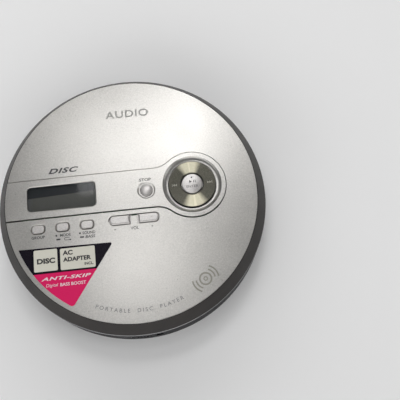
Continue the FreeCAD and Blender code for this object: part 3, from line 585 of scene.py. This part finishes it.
class FinishRack:
    """All the finishes, one for each slot of the record, and the inks."""

    def __init__(self) -> None:
        """Builds each finish once."""
        jog = middle("jog_plate")
        display, display_low = middle("lcd_module"), low("lcd_module")
        cells_low, cells_high = low("battery_cells"), high("battery_cells")
        grey_light, grey_dark = tone(206, 206, 206), tone(150, 150, 152)
        finishes: dict[Slot, Finish] = {
            Slot.SILVER: SatinPaint(tone(206, 204, 200), tone(160, 158, 155), roughness=0.32,
                                    depth=0.004),
            Slot.RIM: Moulded(tone(40, 35, 32), tone(30, 26, 24), 0.42, grain=0.5, depth=0.003,
                              shine=0.35),
            Slot.CASE: Moulded(tone(18, 18, 23), tone(10, 10, 14), 0.52, depth=0.02, shine=0.12),
            Slot.TRIM: SatinPaint(tone(150, 150, 150), tone(110, 110, 112), 0.6, 0.36),
            Slot.WELL: Moulded(tone(40, 40, 43), tone(26, 26, 29), grain=0.3),
            Slot.WINDOW: Clear(tone(30, 34, 36), 0.22),
            Slot.CELL_PANEL: DisplayCell(
                grey=tone(124, 124, 118), strip=tone(34, 39, 45), pale=tone(132, 134, 138),
                strip_y=5.2, strip_slope=0.04, middle_x=display.x, left=display_low.x + 1.3),
            # The spun metal's light tone is its painted highlight and its dark tone is the painted
            # shade of its sides.
            Slot.SPUN: SpunMetal(tone(192, 187, 166), tone(66, 65, 59), (jog.x, jog.y)),
            Slot.KEY: SatinPaint(tone(212, 209, 206), tone(164, 161, 160), 0.7, 0.34, flake=0.25,
                                 depth=0.004),
            Slot.ROCKER: Moulded(tone(34, 33, 34), tone(20, 20, 21), 0.4, grain=0.3, depth=0.006,
                                 coat=0.2),
            Slot.STICKER: PrintedLabel(
                black=tone(22, 18, 28), red=tone(218, 36, 98), pale=tone(214, 212, 200),
                split_y=-35.35,
                boxes=((-50.45, -38.75, -34.2, -23.25), (-37.35, -20.1, -34.4, -23.65))),
            Slot.FOOT: Moulded(tone(56, 56, 56), tone(38, 38, 38), 0.85, grain=0.25, depth=0.02),
            Slot.STEEL: Plated(tone(214, 214, 214), tone(160, 160, 164), 0.24, (0.2, 1, 1)),
            Slot.SCREW: Plated(tone(96, 96, 100), tone(58, 58, 62), 0.36),
            Slot.BOARD: CircuitBoard(),
            Slot.CHIP: Moulded(tone(44, 44, 46), tone(30, 30, 32), 0.55, grain=0.12, depth=0.01),
            Slot.CAPACITOR: Plated(grey_light, grey_dark, 0.32, (1, 1, 0.2)),
            Slot.JACKET: CellJacket(body=tone(38, 40, 46), band=tone(196, 146, 52),
                                    band_from=cells_low.x + 34.0, reach=cells_high.x - 1.6),
            Slot.CONTACT: Plated(tone(232, 230, 224), tone(186, 184, 180), 0.2),
            Slot.MOTOR: Plated(grey_light, grey_dark, 0.34, (1, 1, 0.15)),
            Slot.CHASSIS: Plated(tone(190, 192, 198), tone(140, 142, 150), 0.38, (0.25, 1, 1)),
            Slot.LENS: Clear(tone(90, 100, 190), 0.6, 0.03),
            Slot.SLED: Moulded(tone(48, 48, 52), tone(34, 34, 38), grain=0.25, depth=0.01),
            Slot.DAMPER: Moulded(tone(70, 66, 84), tone(50, 48, 62), 0.8, grain=0.3, depth=0.02),
        }
        self.made = {slot: finish.build(slot.value) for slot, finish in finishes.items()}
        self.dark_ink = Ink(tone(42, 42, 46), 0.12).build("dark_ink")
        self.grey_ink = Ink(tone(92, 92, 96), 0.15).build("grey_ink")
        self.black_ink = Ink(tone(26, 26, 30), 0.05).build("black_ink")
        self.white_ink = Ink(tone(236, 214, 222), 0.1).build("white_ink")
        self.pale_ink = Ink(tone(158, 158, 154), 0.1).build("pale_ink")
        # This ink prints the jog's skip marks, and on the lid's raised badge it is painted shade.
        self.mark_ink = Ink(tone(142, 140, 130), 0.1).build("mark_ink")
        self.ghost_ink = Ink(tone(116, 117, 111), 0.0).build("ghost_ink")

    def dress_frame(self) -> int:
        """Gives each CAD node the finish of its slot.

        Returns:
            How many nodes were dressed.
        """
        names = {slot.value: self.made[slot] for slot in Slot}
        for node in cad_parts.values():
            for held in node.material_slots:
                held.material = names[held.material.name.split(".")[0]]
        return len(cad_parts)


# --- Bench ---

class Bench:
    """Blender's own modelling operators, on one piece at a time."""

    WELD = 0.0005

    @staticmethod
    def edit(piece_open: bool) -> None:
        """Opens the active piece for editing, or closes it."""
        bpy.ops.object.mode_set(mode="EDIT" if piece_open else "OBJECT")

    @staticmethod
    def clear() -> None:
        """Leaves nothing selected and no piece being edited."""
        active = bpy.context.view_layer.objects.active
        if active is not None and active.mode != "OBJECT":
            Bench.edit(False)
        bpy.ops.object.select_all(action="DESELECT")

    @classmethod
    def hold(cls, piece: Piece) -> None:
        """Makes one piece the only one selected, and the active one."""
        cls.clear()
        piece.select_set(True)
        bpy.context.view_layer.objects.active = piece

    @classmethod
    def pick(cls, piece: Piece, rule: Callable[[bpy.types.MeshPolygon], bool]) -> None:
        """Opens a piece for editing with the faces selected that pass the rule.

        Args:
            piece: the piece.
            rule: says of a face whether it is wanted.
        """
        cls.hold(piece)
        Bench.edit(True)
        bpy.ops.mesh.select_mode(type="FACE")
        bpy.ops.mesh.select_all(action="DESELECT")
        Bench.edit(False)
        for face in piece.data.polygons:
            face.select = rule(face)
        Bench.edit(True)

    @classmethod
    def settle(cls, piece: Piece, name: str, smooth: Optional[float] = 35.0) -> Piece:
        """Closes a mesh, turns its faces outwards and puts its place in its mesh.

        Args:
            piece: the piece.
            name: what it is called.
            smooth: the sharpest angle that is shaded smooth, in degrees, or None for flat faces.

        Returns:
            The piece.
        """
        cls.hold(piece)
        bpy.ops.object.transform_apply(location=True, rotation=True, scale=True)
        Bench.edit(True)
        bpy.ops.mesh.select_all(action="SELECT")
        bpy.ops.mesh.remove_doubles(threshold=cls.WELD * MM)
        bpy.ops.mesh.normals_make_consistent(inside=False)
        Bench.edit(False)
        if smooth is not None:
            bpy.ops.object.shade_smooth_by_angle(angle=math.radians(smooth))
        piece.name = piece.data.name = name
        return piece

    @classmethod
    def bevel(cls, piece: Piece, width: float) -> None:
        """Rounds the sharp edges of a piece, with two faces across a width in millimetres."""
        cls.hold(piece)
        rounding = piece.modifiers.new("rounding", "BEVEL")
        rounding.width, rounding.segments, rounding.limit_method = width * MM, 2, "ANGLE"
        bpy.ops.object.modifier_apply(modifier=rounding.name)

    @classmethod
    def ring(cls, name: str, centre: Point, outer: float, inner: float, z0: float, z1: float,
             rounding: float, sides: int = 96) -> Piece:
        """A flat ring with rounded edges.

        Args:
            name: what it is called.
            centre: its middle.
            outer: its outer radius.
            inner: the radius of its hole.
            z0: its underside.
            z1: its top.
            rounding: how wide its rounded edges are.
            sides: how many sides it has.

        Returns:
            The ring.
        """
        cls.clear()
        bpy.ops.mesh.primitive_cylinder_add(
            vertices=sides, radius=outer * MM, depth=(z1 - z0) * MM,
            location=(centre[0] * MM, centre[1] * MM, (z0 + z1) / 2 * MM))
        piece = bpy.context.active_object
        cls.pick(piece, lambda face: abs(face.normal.z) > 0.9)
        bpy.ops.mesh.inset(thickness=(outer - inner) * MM, depth=0.0, use_individual=True)
        bpy.ops.mesh.bridge_edge_loops()
        Bench.edit(False)
        cls.bevel(piece, rounding)
        return cls.settle(piece, name)

    @classmethod
    def bar(cls, name: str, length: float, width: float, at: Point, thick: float = FILM,
            rounding: float = 0.01) -> Piece:
        """A flat bar with rounded edges, half above and half below the origin's level.

        Args:
            name: what it is called.
            length: its size along X.
            width: its size along Y.
            at: its middle.
            thick: how thick it is.
            rounding: how wide its rounded edges are.

        Returns:
            The bar.
        """
        cls.clear()
        bpy.ops.mesh.primitive_cube_add(size=1.0, location=(at[0] * MM, at[1] * MM, 0.0))
        piece = bpy.context.active_object
        piece.scale = (length * MM, width * MM, thick * MM)
        bpy.ops.object.transform_apply(location=False, rotation=False, scale=True)
        cls.bevel(piece, rounding)
        return cls.settle(piece, name)

    @classmethod
    def wedge(cls, name: str, radius: float, at: Point, turn: float = 0.0,
              thick: float = FILM) -> Piece:
        """A flat triangle, half above and half below the origin's level.

        Args:
            name: what it is called.
            radius: how far its corners are from its middle.
            at: its middle.
            turn: where its point faces, in degrees from +X.
            thick: how thick it is.

        Returns:
            The triangle.
        """
        cls.clear()
        bpy.ops.mesh.primitive_circle_add(
            vertices=3, radius=radius * MM, fill_type="NGON",
            location=(at[0] * MM, at[1] * MM, -thick / 2 * MM),
            rotation=(0, 0, math.radians(turn - 90.0)))
        piece = bpy.context.active_object
        cls.pick(piece, lambda face: True)
        bpy.ops.mesh.extrude_region_move(TRANSFORM_OT_translate={"value": (0, 0, thick * MM)})
        Bench.edit(False)
        return cls.settle(piece, name, None)

    @classmethod
    def join(cls, name: str, pieces: list[Piece]) -> Piece:
        """Several shapes as one piece."""
        cls.hold(pieces[0])
        for piece in pieces[1:]:
            piece.select_set(True)
        bpy.ops.object.join()
        joined = bpy.context.active_object
        joined.name = joined.data.name = name
        return joined

    @staticmethod
    def finish(piece: Piece, material: Material, body: str,
               slot: Optional[Slot] = None) -> Piece:
        """Dresses a piece and sets it on its body.

        Args:
            piece: the piece.
            material: what it is made of.
            body: the CAD body that it moves with.
            slot: not used.

        Returns:
            The piece.
        """
        piece.data.materials.clear()
        piece.data.materials.append(material)
        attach(piece, body)
        LOG.info("%s rides on %s", piece.name, body)
        return piece


# --- Surfaces that lettering is laid on ---

class Surface(ABC):
    """A face of the player, which takes a point right, up and out from it to the part's frame."""

    @abstractmethod
    def lay(self, right: float, up: float, out: float) -> Vector:
        """Place of a point, in millimetres."""


@dataclass(frozen=True)
class LidCrown(Surface):
    """The lid's top, which is part of a very large ball."""

    top: float
    radius: float
    drop: float = 0.8
    lift: float = 0.0

    def lay(self, right: float, up: float, out: float) -> Vector:
        """Place of a point, in millimetres."""
        ball = (self.radius ** 2 + self.drop ** 2) / (2 * self.drop)
        height = self.top - ball + math.sqrt(ball ** 2 - right ** 2 - up ** 2)
        return Vector((right, up, height + self.lift + out))

    def raised(self, lift: float) -> "LidCrown":
        """The face of what stands on the lid's top by a lift."""
        return replace(self, lift=lift)


@dataclass(frozen=True)
class LidArc(Surface):
    """A line that runs round the front of the lid's top, with its letters' feet outwards."""

    crown: LidCrown
    radius: float

    def lay(self, right: float, up: float, out: float) -> Vector:
        """Place of a point, in millimetres."""
        angle = right / self.radius
        reach = self.radius - up
        return self.crown.lay(reach * math.sin(angle), -reach * math.cos(angle), out)


@dataclass(frozen=True)
class Dome(Surface):
    """A key's cap, which rises from its edge to its middle."""

    centre: Point
    edge: float
    edge_z: float
    top_z: float

    def lay(self, right: float, up: float, out: float) -> Vector:
        """Place of a point, in millimetres."""
        share = min(1.0, math.hypot(right, up) / self.edge)
        z = self.top_z - (self.top_z - self.edge_z) * share ** 2
        return Vector((self.centre[0] + right, self.centre[1] + up, z + out))


@dataclass(frozen=True)
class Level(Surface):
    """A level face, read from above, or from below where its side is -1."""

    z: float
    side: float = 1.0

    def lay(self, right: float, up: float, out: float) -> Vector:
        """Place of a point, in millimetres."""
        return Vector((self.side * right, up, self.z + self.side * out))


@dataclass(frozen=True)
class Wall(Surface):
    """The round side of the case. Its middle is at a bearing in degrees from +X."""

    radius: float
    bearing: float

    def lay(self, right: float, up: float, out: float) -> Vector:
        """Place of a point, in millimetres."""
        angle = math.radians(self.bearing) + right / self.radius
        reach = self.radius + out
        return Vector((reach * math.cos(angle), reach * math.sin(angle), up))


@dataclass(frozen=True)
class Word:
    """Lettering that fills a box: its name, text, middle, width and height."""

    name: str
    text: str
    at: Point
    width: float
    height: float
    slant: float = 0.0
    weight: float = 0.0
    spacing: float = 1.0
    thick: float = FILM


class Printer:
    """Makes lettering and lays it on a surface."""

    LIFT = 0.01
    WEIGHT = 0.02
    CURVE_STEPS = 4

    def shape(self, word: Word) -> Piece:
        """The letters as a flat solid that fills the word's box, with its middle at the origin."""
        Bench.clear()
        bpy.ops.object.text_add(location=(0, 0, 0))
        piece = bpy.context.active_object
        letters = piece.data
        letters.body, letters.size, letters.resolution_u = word.text, 1.0, self.CURVE_STEPS
        letters.shear, letters.space_character = word.slant, word.spacing
        letters.offset, letters.extrude = word.weight * self.WEIGHT, 0.5
        bpy.ops.object.convert(target="MESH")
        piece = bpy.context.active_object
        bpy.ops.object.origin_set(type="ORIGIN_GEOMETRY", center="BOUNDS")
        piece.location = (0, 0, 0)
        piece.dimensions = (word.width * MM, word.height * MM, word.thick * MM)
        bpy.ops.object.transform_apply(location=True, rotation=True, scale=True)
        return Bench.settle(piece, word.name, None)

    def lay(self, piece: Piece, surface: Surface, at: Point = (0.0, 0.0),
            thick: float = FILM) -> Piece:
        """Bends a flat solid onto a surface.

        Args:
            piece: the solid, about the origin.
            surface: what it is laid on.
            at: where its middle goes.
            thick: how thick it is.

        Returns:
            The piece.
        """
        for corner in piece.data.vertices:
            flat = corner.co / MM
            out = flat.z + thick / 2 + self.LIFT
            corner.co = surface.lay(flat.x + at[0], flat.y + at[1], out) * MM
        piece.data.update()
        return piece

    def put(self, word: Word, surface: Surface, ink: Material, body: str) -> None:
        """Makes a word, lays it on a surface and sets it on its body."""
        Bench.finish(self.lay(self.shape(word), surface, word.at, word.thick), ink, body)


def stand(thing: Piece, at: Place, aim: Place) -> None:
    """Puts a lamp or a camera in the scene at a place, facing what it aims at."""
    bpy.context.scene.collection.objects.link(thing)
    place, target = Vector(at) * MM, Vector(aim) * MM
    thing.location = place
    thing.rotation_mode = "QUATERNION"
    thing.rotation_quaternion = (target - place).to_track_quat("-Z", "Y")


# --- Sub-assemblies ---

@dataclass
class Dress(ABC):
    """What is added to one sub-assembly."""

    finishes: FinishRack
    printer: Printer

    @abstractmethod
    def build(self) -> None:
        """Makes its pieces."""

    def marks(self, name: str, shapes: list[Piece], surface: Surface,
              ink: Material, body: str, at: Point = (0.0, 0.0),
              thick: float = FILM) -> None:
        """Prints flat shapes as one piece.

        Args:
            name: what the piece is called.
            shapes: the shapes, about the origin.
            surface: what they are laid on.
            ink: what they are printed with.
            body: the CAD body that they move with.
            at: where their origin goes.
            thick: how thick they are.
        """
        piece = self.printer.lay(Bench.join(name, shapes), surface, at, thick)
        Bench.finish(piece, ink, body)


@dataclass
class LidDress(Dress):
    """What is printed and embossed on the lid."""

    crown: LidCrown
    arc_radius: float = 57.9
    badge_at: Point = (33.0, -46.0)
    badge_turn: float = 38.0
    badge_half: float = 0.07
    wave_half: float = 32.0
    wave_width: float = 0.75

    def build(self) -> None:
        """Makes the lid's lettering and its badge."""
        rack, put = self.finishes, self.printer.put
        put(Word("audio_word", "AUDIO", (0.9, 46.3), 22.6, 4.2, weight=0.6, spacing=1.1,
                 thick=0.08), self.crown, rack.pale_ink, "lid")
        put(Word("disc_word", "DISC", (-33.9, 17.8), 15.6, 2.9, slant=0.35, weight=1.8,
                 spacing=1.15), self.crown, rack.dark_ink, "lid")
        put(Word("arc_word", "PORTABLE  DISC  PLAYER", (0.0, 0.0), 43.5, 1.9, spacing=1.45),
            LidArc(self.crown, self.arc_radius), rack.grey_ink, "lid")
        self.badge()

    def badge(self) -> None:
        """A raised disc with two arcs of sound on each side of it, inked darker than the lid as
        painted shade.
        """
        rings = [self.band("badge_disc", 3.3, 2.45, 48), self.band("badge_hub", 1.15, 0.6, 32)]
        rings += [self.wave(reach, side) for reach in (5.1, 6.9) for side in (0.0, 180.0)]
        badge = Bench.join("disc_badge", rings)
        badge.rotation_euler.z = math.radians(self.badge_turn)
        Bench.settle(badge, "disc_badge")
        self.printer.lay(badge, self.crown, self.badge_at, 2 * self.badge_half)
        # Painted shade: the badge's darker ink stands in for the shading round its raised edges.
        Bench.finish(badge, self.finishes.mark_ink, "lid")

    def band(self, name: str, outer: float, inner: float, sides: int) -> Piece:
        """One raised ring of the badge."""
        half = self.badge_half
        return Bench.ring(name, (0, 0), outer, inner, -half, half, 0.04, sides)

    def wave(self, reach: float, side: float) -> Piece:
        """One arc of sound, a slice of a ring."""
        arc = self.band("badge_wave", reach, reach - self.wave_width, 96)
        for sign in (1.0, -1.0):
            angle = math.radians(side + sign * self.wave_half)
            normal = (-sign * math.sin(angle), sign * math.cos(angle), 0)
            Bench.pick(arc, lambda face: True)
            bpy.ops.mesh.bisect(plane_co=(0, 0, 0), plane_no=normal, use_fill=True,
                                clear_outer=True)
            Bench.edit(False)
        return arc


@dataclass
class PanelDress(Dress):
    """What is printed on and round the control panel."""

    crown: LidCrown
    label_y: float = -16.7
    second_y: float = -18.75
    text_height: float = 1.45
    panel_lift: float = 0.2

    def build(self) -> None:
        """Makes the labels of the keys."""
        stop, group, mode, sound = (
            middle(f"{key}_button").x for key in ("stop", "group", "mode", "sound"))
        down, up = middle("volume_down").x, middle("volume_up").x
        first, second, tall = self.label_y, self.second_y, self.text_height
        words = (
            Word("stop_word", "STOP", (stop - 0.2, 8.0), 6.0, 1.65, weight=0.9),
            Word("group_word", "GROUP", (group, first), 6.6, tall, weight=0.9),
            Word("mode_word", "MODE", (mode + 1.3, first), 5.4, tall, weight=0.9),
            Word("sound_word", "SOUND", (sound + 0.8, first), 6.4, tall, weight=0.9),
            Word("bass_word", "BASS", (sound + 1.4, second), 5.0, tall, slant=0.2, weight=0.9),
            Word("volume_word", "VOL", ((down + up) / 2, -16.8), 4.2, 1.6, weight=0.8),
            Word("minus_sign", "-", (down - 2.5, -16.8), 1.0, 0.35),
            Word("plus_sign", "+", (up + 1.4, -16.7), 1.2, 1.2),
        )
        for word in words:
            face = self.crown.raised(self.panel_lift) if word.name == "stop_word" else self.crown
            self.printer.put(word, face, self.finishes.dark_ink, "lid")
        self.key_marks(mode, sound)

    def key_marks(self, mode_x: float, sound_x: float) -> None:
        """Dots and dashes beside the labels, and the arrow of repeat play."""
        first, second, half = self.label_y, self.second_y, FILM / 2
        shapes = []
        for x in (mode_x - 3.2, sound_x - 3.7):
            shapes.append(Bench.ring("mark_dot", (x, first), 0.5, 0.06, -half, half, 0.004, 20))
            shapes.append(Bench.bar("mark_dash", 2.0, 0.75, (x + 0.9, second)))
        left, width, rise, line = mode_x + 0.8, 2.6, 1.2, 0.24
        across, foot = left + width / 2, second - rise / 2
        shapes += [
            Bench.bar("repeat_top", width, line, (across, second + rise / 2)),
            Bench.bar("repeat_side", line, rise, (left, second)),
            Bench.bar("repeat_foot", width, line, (across, foot)),
            Bench.wedge("repeat_point", 0.6, (left + width + 0.3, foot)),
        ]
        self.marks("key_marks", shapes, self.crown, self.finishes.dark_ink, "lid")


@dataclass
class JogDress(Dress):
    """Marks on the jog's ring and on its centre key."""

    mark_reach: float = 9.1
    mark_half: float = 0.75
    mark_thick: float = 0.04
    mark_sink: float = 0.09
    cap_radius: float = 5.2
    cap_edge: float = 28.45

    def build(self) -> None:
        """Makes the skip marks and the centre key's marks."""
        jog, ink = middle("jog_plate"), self.finishes.dark_ink
        plate = Level(high("jog_plate").z - self.mark_sink)
        for name, side in (("skip_back", -1.0), ("skip_forward", 1.0)):
            self.marks(name, self.skip_shapes(side), plate, self.finishes.mark_ink, "jog",
                       (jog.x + side * self.mark_reach, jog.y), self.mark_thick)
        cap = Dome((jog.x, jog.y), self.cap_radius, self.cap_edge, high("play_button").z)
        self.printer.put(Word("enter_word", "ENTER", (0.0, -1.6), 6.0, 1.35), cap, ink, "play_key")
        shapes = [
            Bench.wedge("play_point", 0.95, (-0.9, 1.0)),
            Bench.bar("pause_left", 0.36, 1.4, (0.9, 1.0)),
            Bench.bar("pause_right", 0.36, 1.4, (1.7, 1.0)),
            Bench.ring("finger_dot", (0.0, 3.2), 0.42, 0.05, -FILM / 2, 0.1, 0.02, 20),
        ]
        self.marks("play_marks", shapes, cap, ink, "play_key")

    def skip_shapes(self, side: float) -> list[Piece]:
        """A bar and two triangles that point to one side."""
        half, turn, thick = self.mark_half, 0.0 if side > 0 else 180.0, self.mark_thick
        return [
            Bench.wedge("skip_first", half, (-side * 0.95, 0.0), turn, thick),
            Bench.wedge("skip_second", half, (side * 0.15, 0.0), turn, thick),
            Bench.bar("skip_bar", 0.28, 1.5, (side * 1.1, 0.0), thick),
        ]


@dataclass
class LabelDress(Dress):
    """Lettering on the printed label."""

    crown: LidCrown
    film: float = 0.13

    def build(self) -> None:
        """Makes the label's words, dark in its pale boxes and white on its red field."""
        dark, white = self.finishes.black_ink, self.finishes.white_ink
        words = (
            (dark, Word("label_disc", "DISC", (-44.4, -29.0), 9.0, 2.7, weight=2.2)),
            (dark, Word("label_mains", "AC", (-33.6, -25.9), 5.0, 2.4, weight=1.9)),
            (dark, Word("label_adapter", "ADAPTER", (-29.1, -29.3), 13.8, 2.2, weight=1.9)),
            (dark, Word("label_included", "INCL.", (-23.3, -32.3), 4.4, 1.4, weight=1.4)),
            (white, Word("label_skip", "ANTI-SKIP", (-34.9, -38.1), 24.5, 1.7, slant=0.3,
                         weight=1.4, spacing=1.1)),
            (white, Word("label_digital", "Digital", (-41.9, -41.6), 6.0, 2.0, slant=0.25)),
            (white, Word("label_bass", "BASS BOOST", (-31.6, -41.5), 12.6, 1.6, weight=1.0)),
        )
        for ink, word in words:
            self.printer.put(word, self.crown.raised(self.film), ink, "lid")


@dataclass
class DisplayDress(Dress):
    """Faint segments that show on the display when it is off."""

    width: float = 2.6
    height: float = 4.6
    gap: float = 0.9
    stroke: float = 0.4
    clear: float = 0.35
    edge: float = 0.008
    thick: float = 0.02
    count: int = 8
    below_middle: float = 1.6

    def build(self) -> None:
        """Makes one digit and copies it along the display."""
        centre, pitch = middle("lcd_window"), self.width + self.gap
        first = self.figure()
        figures = [first]
        for place in range(1, self.count):
            copy = first.copy()
            copy.data = first.data.copy()
            bpy.context.scene.collection.objects.link(copy)
            copy.location.x = place * pitch * MM
            figures.append(copy)
        row = Bench.join("display_segments", figures)
        Bench.settle(row, "display_segments", None)
        start = (centre.x - (self.count - 1) * pitch / 2, centre.y - self.below_middle)
        self.printer.lay(row, Level(high("lcd_module").z), start, self.thick)
        Bench.finish(row, self.finishes.ghost_ink, "lid")

    def figure(self) -> Piece:
        """Seven bars as a figure of eight."""
        right, top, stroke = self.width / 2, self.height / 2, self.stroke
        bars = [(self.width - 2 * self.clear, stroke, (0.0, y)) for y in (-top, 0.0, top)]
        bars += [(stroke, top - self.clear, (x, y))
                 for x in (-right, right) for y in (-top / 2, top / 2)]
        return Bench.join("figure", [
            Bench.bar("segment", *bar, self.thick, self.edge) for bar in bars])


@dataclass
class CaseDress(Dress):
    """Lettering on the round side and on the underside."""

    def build(self) -> None:
        """Makes the words beside the sockets, the lock and the latch, and those below."""
        ink, put = self.finishes.grey_ink, self.printer.put
        wall = high("lower_case").x
        hold, latch = middle("hold_knob"), middle("open_knob")
        phones = math.degrees(math.asin(middle("headphone_jack").y / wall))
        supply = 180.0 - math.degrees(math.asin(middle("dc_jack").y / wall))
        for bearing, word in (
                (0.0, Word("hold_word", "HOLD", (hold.y, hold.z + 4.3), 5.4, 1.6)),
                (-90.0, Word("open_word", "OPEN", (latch.x - 9.6, latch.z), 6.4, 1.6)),
                (phones, Word("phones_word", "PHONES", (0.0, 13.4), 6.6, 1.3)),
                (supply, Word("supply_word", "DC IN", (0.0, 13.4), 5.4, 1.3))):
            put(word, Wall(wall, bearing), ink, "base")
        front, back = low("battery_door"), high("battery_door")
        door, line = Level(front.z, -1.0), front.y + 4.0
        put(Word("door_word", "OPEN", (0.0, line), 7.5, 1.9), door, ink, "battery_door")
        put(Word("cells_word", "AA x 2", (0.0, back.y + 4.6), 9.0, 2.0),
            Level(low("lower_case").z, -1.0), ink, "base")
        arrow = [Bench.wedge("arrow_point", 1.5, (0.0, -0.9), -90.0),
                 Bench.bar("arrow_shaft", 0.9, 2.2, (0.0, 0.6))]
        self.marks("door_arrow", arrow, door, ink, "battery_door", (8.5, line))


@dataclass
class DriveDress(Dress):
    """Small parts of the drive that the lid hides: the screw's thread and the turntable's ring."""

    pitch: float = 3.0
    thread: float = 0.32
    steps: int = 20
    run_in: float = 2.5
    plain_ends: float = 6.0
    pad_outer: float = 13.9
    pad_inner: float = 9.2
    pad_below_top: float = 2.2

    def build(self) -> None:
        """Makes the thread and the ring."""
        self.screw_thread()
        seat = high("turntable").z - self.pad_below_top
        pad = Bench.ring("turntable_pad", (0.0, 0.0), self.pad_outer, self.pad_inner,
                         seat - 0.02, seat + 0.1, 0.04)
        Bench.finish(pad, self.finishes.made[Slot.FOOT], "spindle", Slot.FOOT)

    def screw_thread(self) -> None:
        """A ridge wound along the lead screw."""
        start, end, axis = low("lead_screw"), high("lead_screw"), middle("lead_screw")
        radius = (end.x - start.x) / 2
        Bench.clear()
        bpy.ops.mesh.primitive_circle_add(
            vertices=3, radius=self.thread * MM, fill_type="NOTHING",
            location=(axis.x * MM, (start.y + self.run_in) * MM, axis.z * MM))
        ridge = bpy.context.active_object
        for corner in ridge.data.vertices:
            corner.co.x += (radius + self.thread * 0.35) * MM
        winding = ridge.modifiers.new("winding", "SCREW")
        winding.axis, winding.angle = "Y", 2 * math.pi
        winding.screw_offset = self.pitch * MM
        winding.iterations = int((end.y - start.y - self.plain_ends) / self.pitch)
        winding.steps = winding.render_steps = self.steps
        bpy.ops.object.modifier_apply(modifier=winding.name)
        Bench.edit(True)
        bpy.ops.mesh.select_mode(type="EDGE")
        bpy.ops.mesh.select_all(action="DESELECT")
        bpy.ops.mesh.select_non_manifold(extend=False)
        bpy.ops.mesh.edge_face_add()
        Bench.edit(False)
        Bench.settle(ridge, "screw_thread")
        Bench.finish(ridge, self.finishes.made[Slot.STEEL], "screw", Slot.STEEL)


@dataclass
class CellDress(Dress):
    """Marks on the two dry cells."""

    rows: Point = (-24.7, -40.6)
    from_end: float = 4.0
    ink_sink: float = 0.03

    def build(self) -> None:
        """Makes a plus and a minus sign on the underside of each cell."""
        reach = high("battery_cells").x - self.from_end
        face = Level(low("battery_cells").z - self.ink_sink, -1.0)
        for row, y in enumerate(self.rows):
            for side, end in ((-1.0, "left"), (1.0, "right")):
                plus = (side > 0) == (row == 0)
                text, width, height = ("+", 2.4, 2.4) if plus else ("-", 2.2, 0.6)
                word = Word(f"cell_mark_{row}_{end}", text, (-side * reach, y), width, height,
                            weight=1.0)
                self.printer.put(word, face, self.finishes.white_ink, "base")


@dataclass(frozen=True)
class Lamp:
    """A rectangular lamp that faces the player: its place, its two sides and its watts."""

    name: str
    at: Place
    size: Point
    power: float

    def build(self) -> None:
        """Hangs the lamp."""
        data = bpy.data.lights.new(self.name, "AREA")
        data.shape, data.energy = "RECTANGLE", self.power
        data.size, data.size_y = self.size[0] * MM, self.size[1] * MM
        stand(bpy.data.objects.new(self.name, data), self.at, (0.0, 0.0, 0.0))


@dataclass
class Studio:
    """Pale floor, soft lights and the camera."""

    camera_at: Place = (24.2, -102.1, 335.1)
    aim: Place = (34.5, -5.8, 27.8)
    lens: float = 57.1
    sensor: float = 36.0
    floor_size: float = 2.8
    floor_z: float = -0.0002
    floor_shade: Colour = (0.93, 0.93, 0.93, 1.0)
    room: tuple[float, float, float, float] = (0.04, 0.6, 0.85, 0.12)
    lamps: tuple[Lamp, ...] = (
        Lamp("key_lamp", (72.0, 362.0, 700.0), (120.0, 170.0), 0.52),
        Lamp("back_lamp", (-100.0, 330.0, 700.0), (150.0, 150.0), 0.31),
        Lamp("top_lamp", (-50.0, 80.0, 700.0), (180.0, 150.0), 0.31),
        Lamp("left_lamp", (-1000.0, -400.0, 550.0), (700.0, 500.0), 1.60),
        Lamp("right_lamp", (1000.0, -300.0, 550.0), (700.0, 500.0), 1.70),
        Lamp("front_lamp", (-250.0, -1300.0, 520.0), (2200.0, 900.0), 12.00),
        Lamp("rear_lamp", (0.0, 1300.0, 480.0), (2600.0, 900.0), 15.00),
    )

    def build(self) -> None:
        """Makes the floor, the lights and the camera."""
        self.floor()
        self.sky()
        for lamp in self.lamps:
            lamp.build()
        self.camera()

    def floor(self) -> None:
        """The table, whose size and height are in metres."""
        Bench.clear()
        bpy.ops.mesh.primitive_plane_add(size=self.floor_size, location=(0, 0, self.floor_z))
        table = bpy.context.active_object
        table.name = "table"
        graph = Graph("table_white", specular_ior_level=0.1)
        cloud = graph.noise(60.0, 2.0)
        graph.colour(graph.mix(cloud, tint(self.floor_shade, 0.985), self.floor_shade))
        graph.rough(0.8, (cloud, 0.1))
        table.data.materials.append(graph.material)

    def sky(self) -> None:
        """Light from all round, which fades from the horizon up as the room's four numbers say."""
        world = bpy.data.worlds.new("soft_room")
        world.use_nodes = True
        nodes, links = world.node_tree.nodes, world.node_tree.links
        light = nodes["Background"]
        light.inputs["Color"].default_value = WHITE
        heading, split, fade = (nodes.new(kind) for kind in (
            "ShaderNodeTexCoord", "ShaderNodeSeparateXYZ", "ShaderNodeMapRange"))
        fade.interpolation_type = "SMOOTHSTEP"
        for name, value in zip(("From Min", "From Max", "To Min", "To Max"), self.room):
            fade.inputs[name].default_value = value
        links.new(heading.outputs["Generated"], split.inputs["Vector"])
        links.new(split.outputs["Z"], fade.inputs["Value"])
        links.new(fade.outputs["Result"], light.inputs["Strength"])
        bpy.context.scene.world = world
        bpy.context.scene.view_settings.view_transform = "Standard"

    def camera(self) -> None:
        """The camera, over the front edge and looking down at the lid."""
        data = bpy.data.cameras.new("camera")
        data.lens, data.sensor_width = self.lens, self.sensor
        data.clip_start, data.clip_end = 0.01, 20.0
        camera = bpy.data.objects.new("camera", data)
        stand(camera, self.camera_at, self.aim)
        bpy.context.scene.camera = camera


def main() -> None:
    """Dresses the frame and builds each sub-assembly in order."""
    logging.basicConfig(level=logging.INFO, format="%(name)s: %(message)s")
    rack, printer = FinishRack(), Printer()
    LOG.info("dressed %d nodes", rack.dress_frame())
    crown = LidCrown(top=27.8, radius=64.2)
    dresses: tuple[Dress, ...] = (
        LidDress(rack, printer, crown), PanelDress(rack, printer, crown), JogDress(rack, printer),
        LabelDress(rack, printer, crown), DisplayDress(rack, printer), CaseDress(rack, printer),
        DriveDress(rack, printer), CellDress(rack, printer))
    for dress in dresses:
        dress.build()
    Studio().build()


if __name__ == "__main__":
    main()
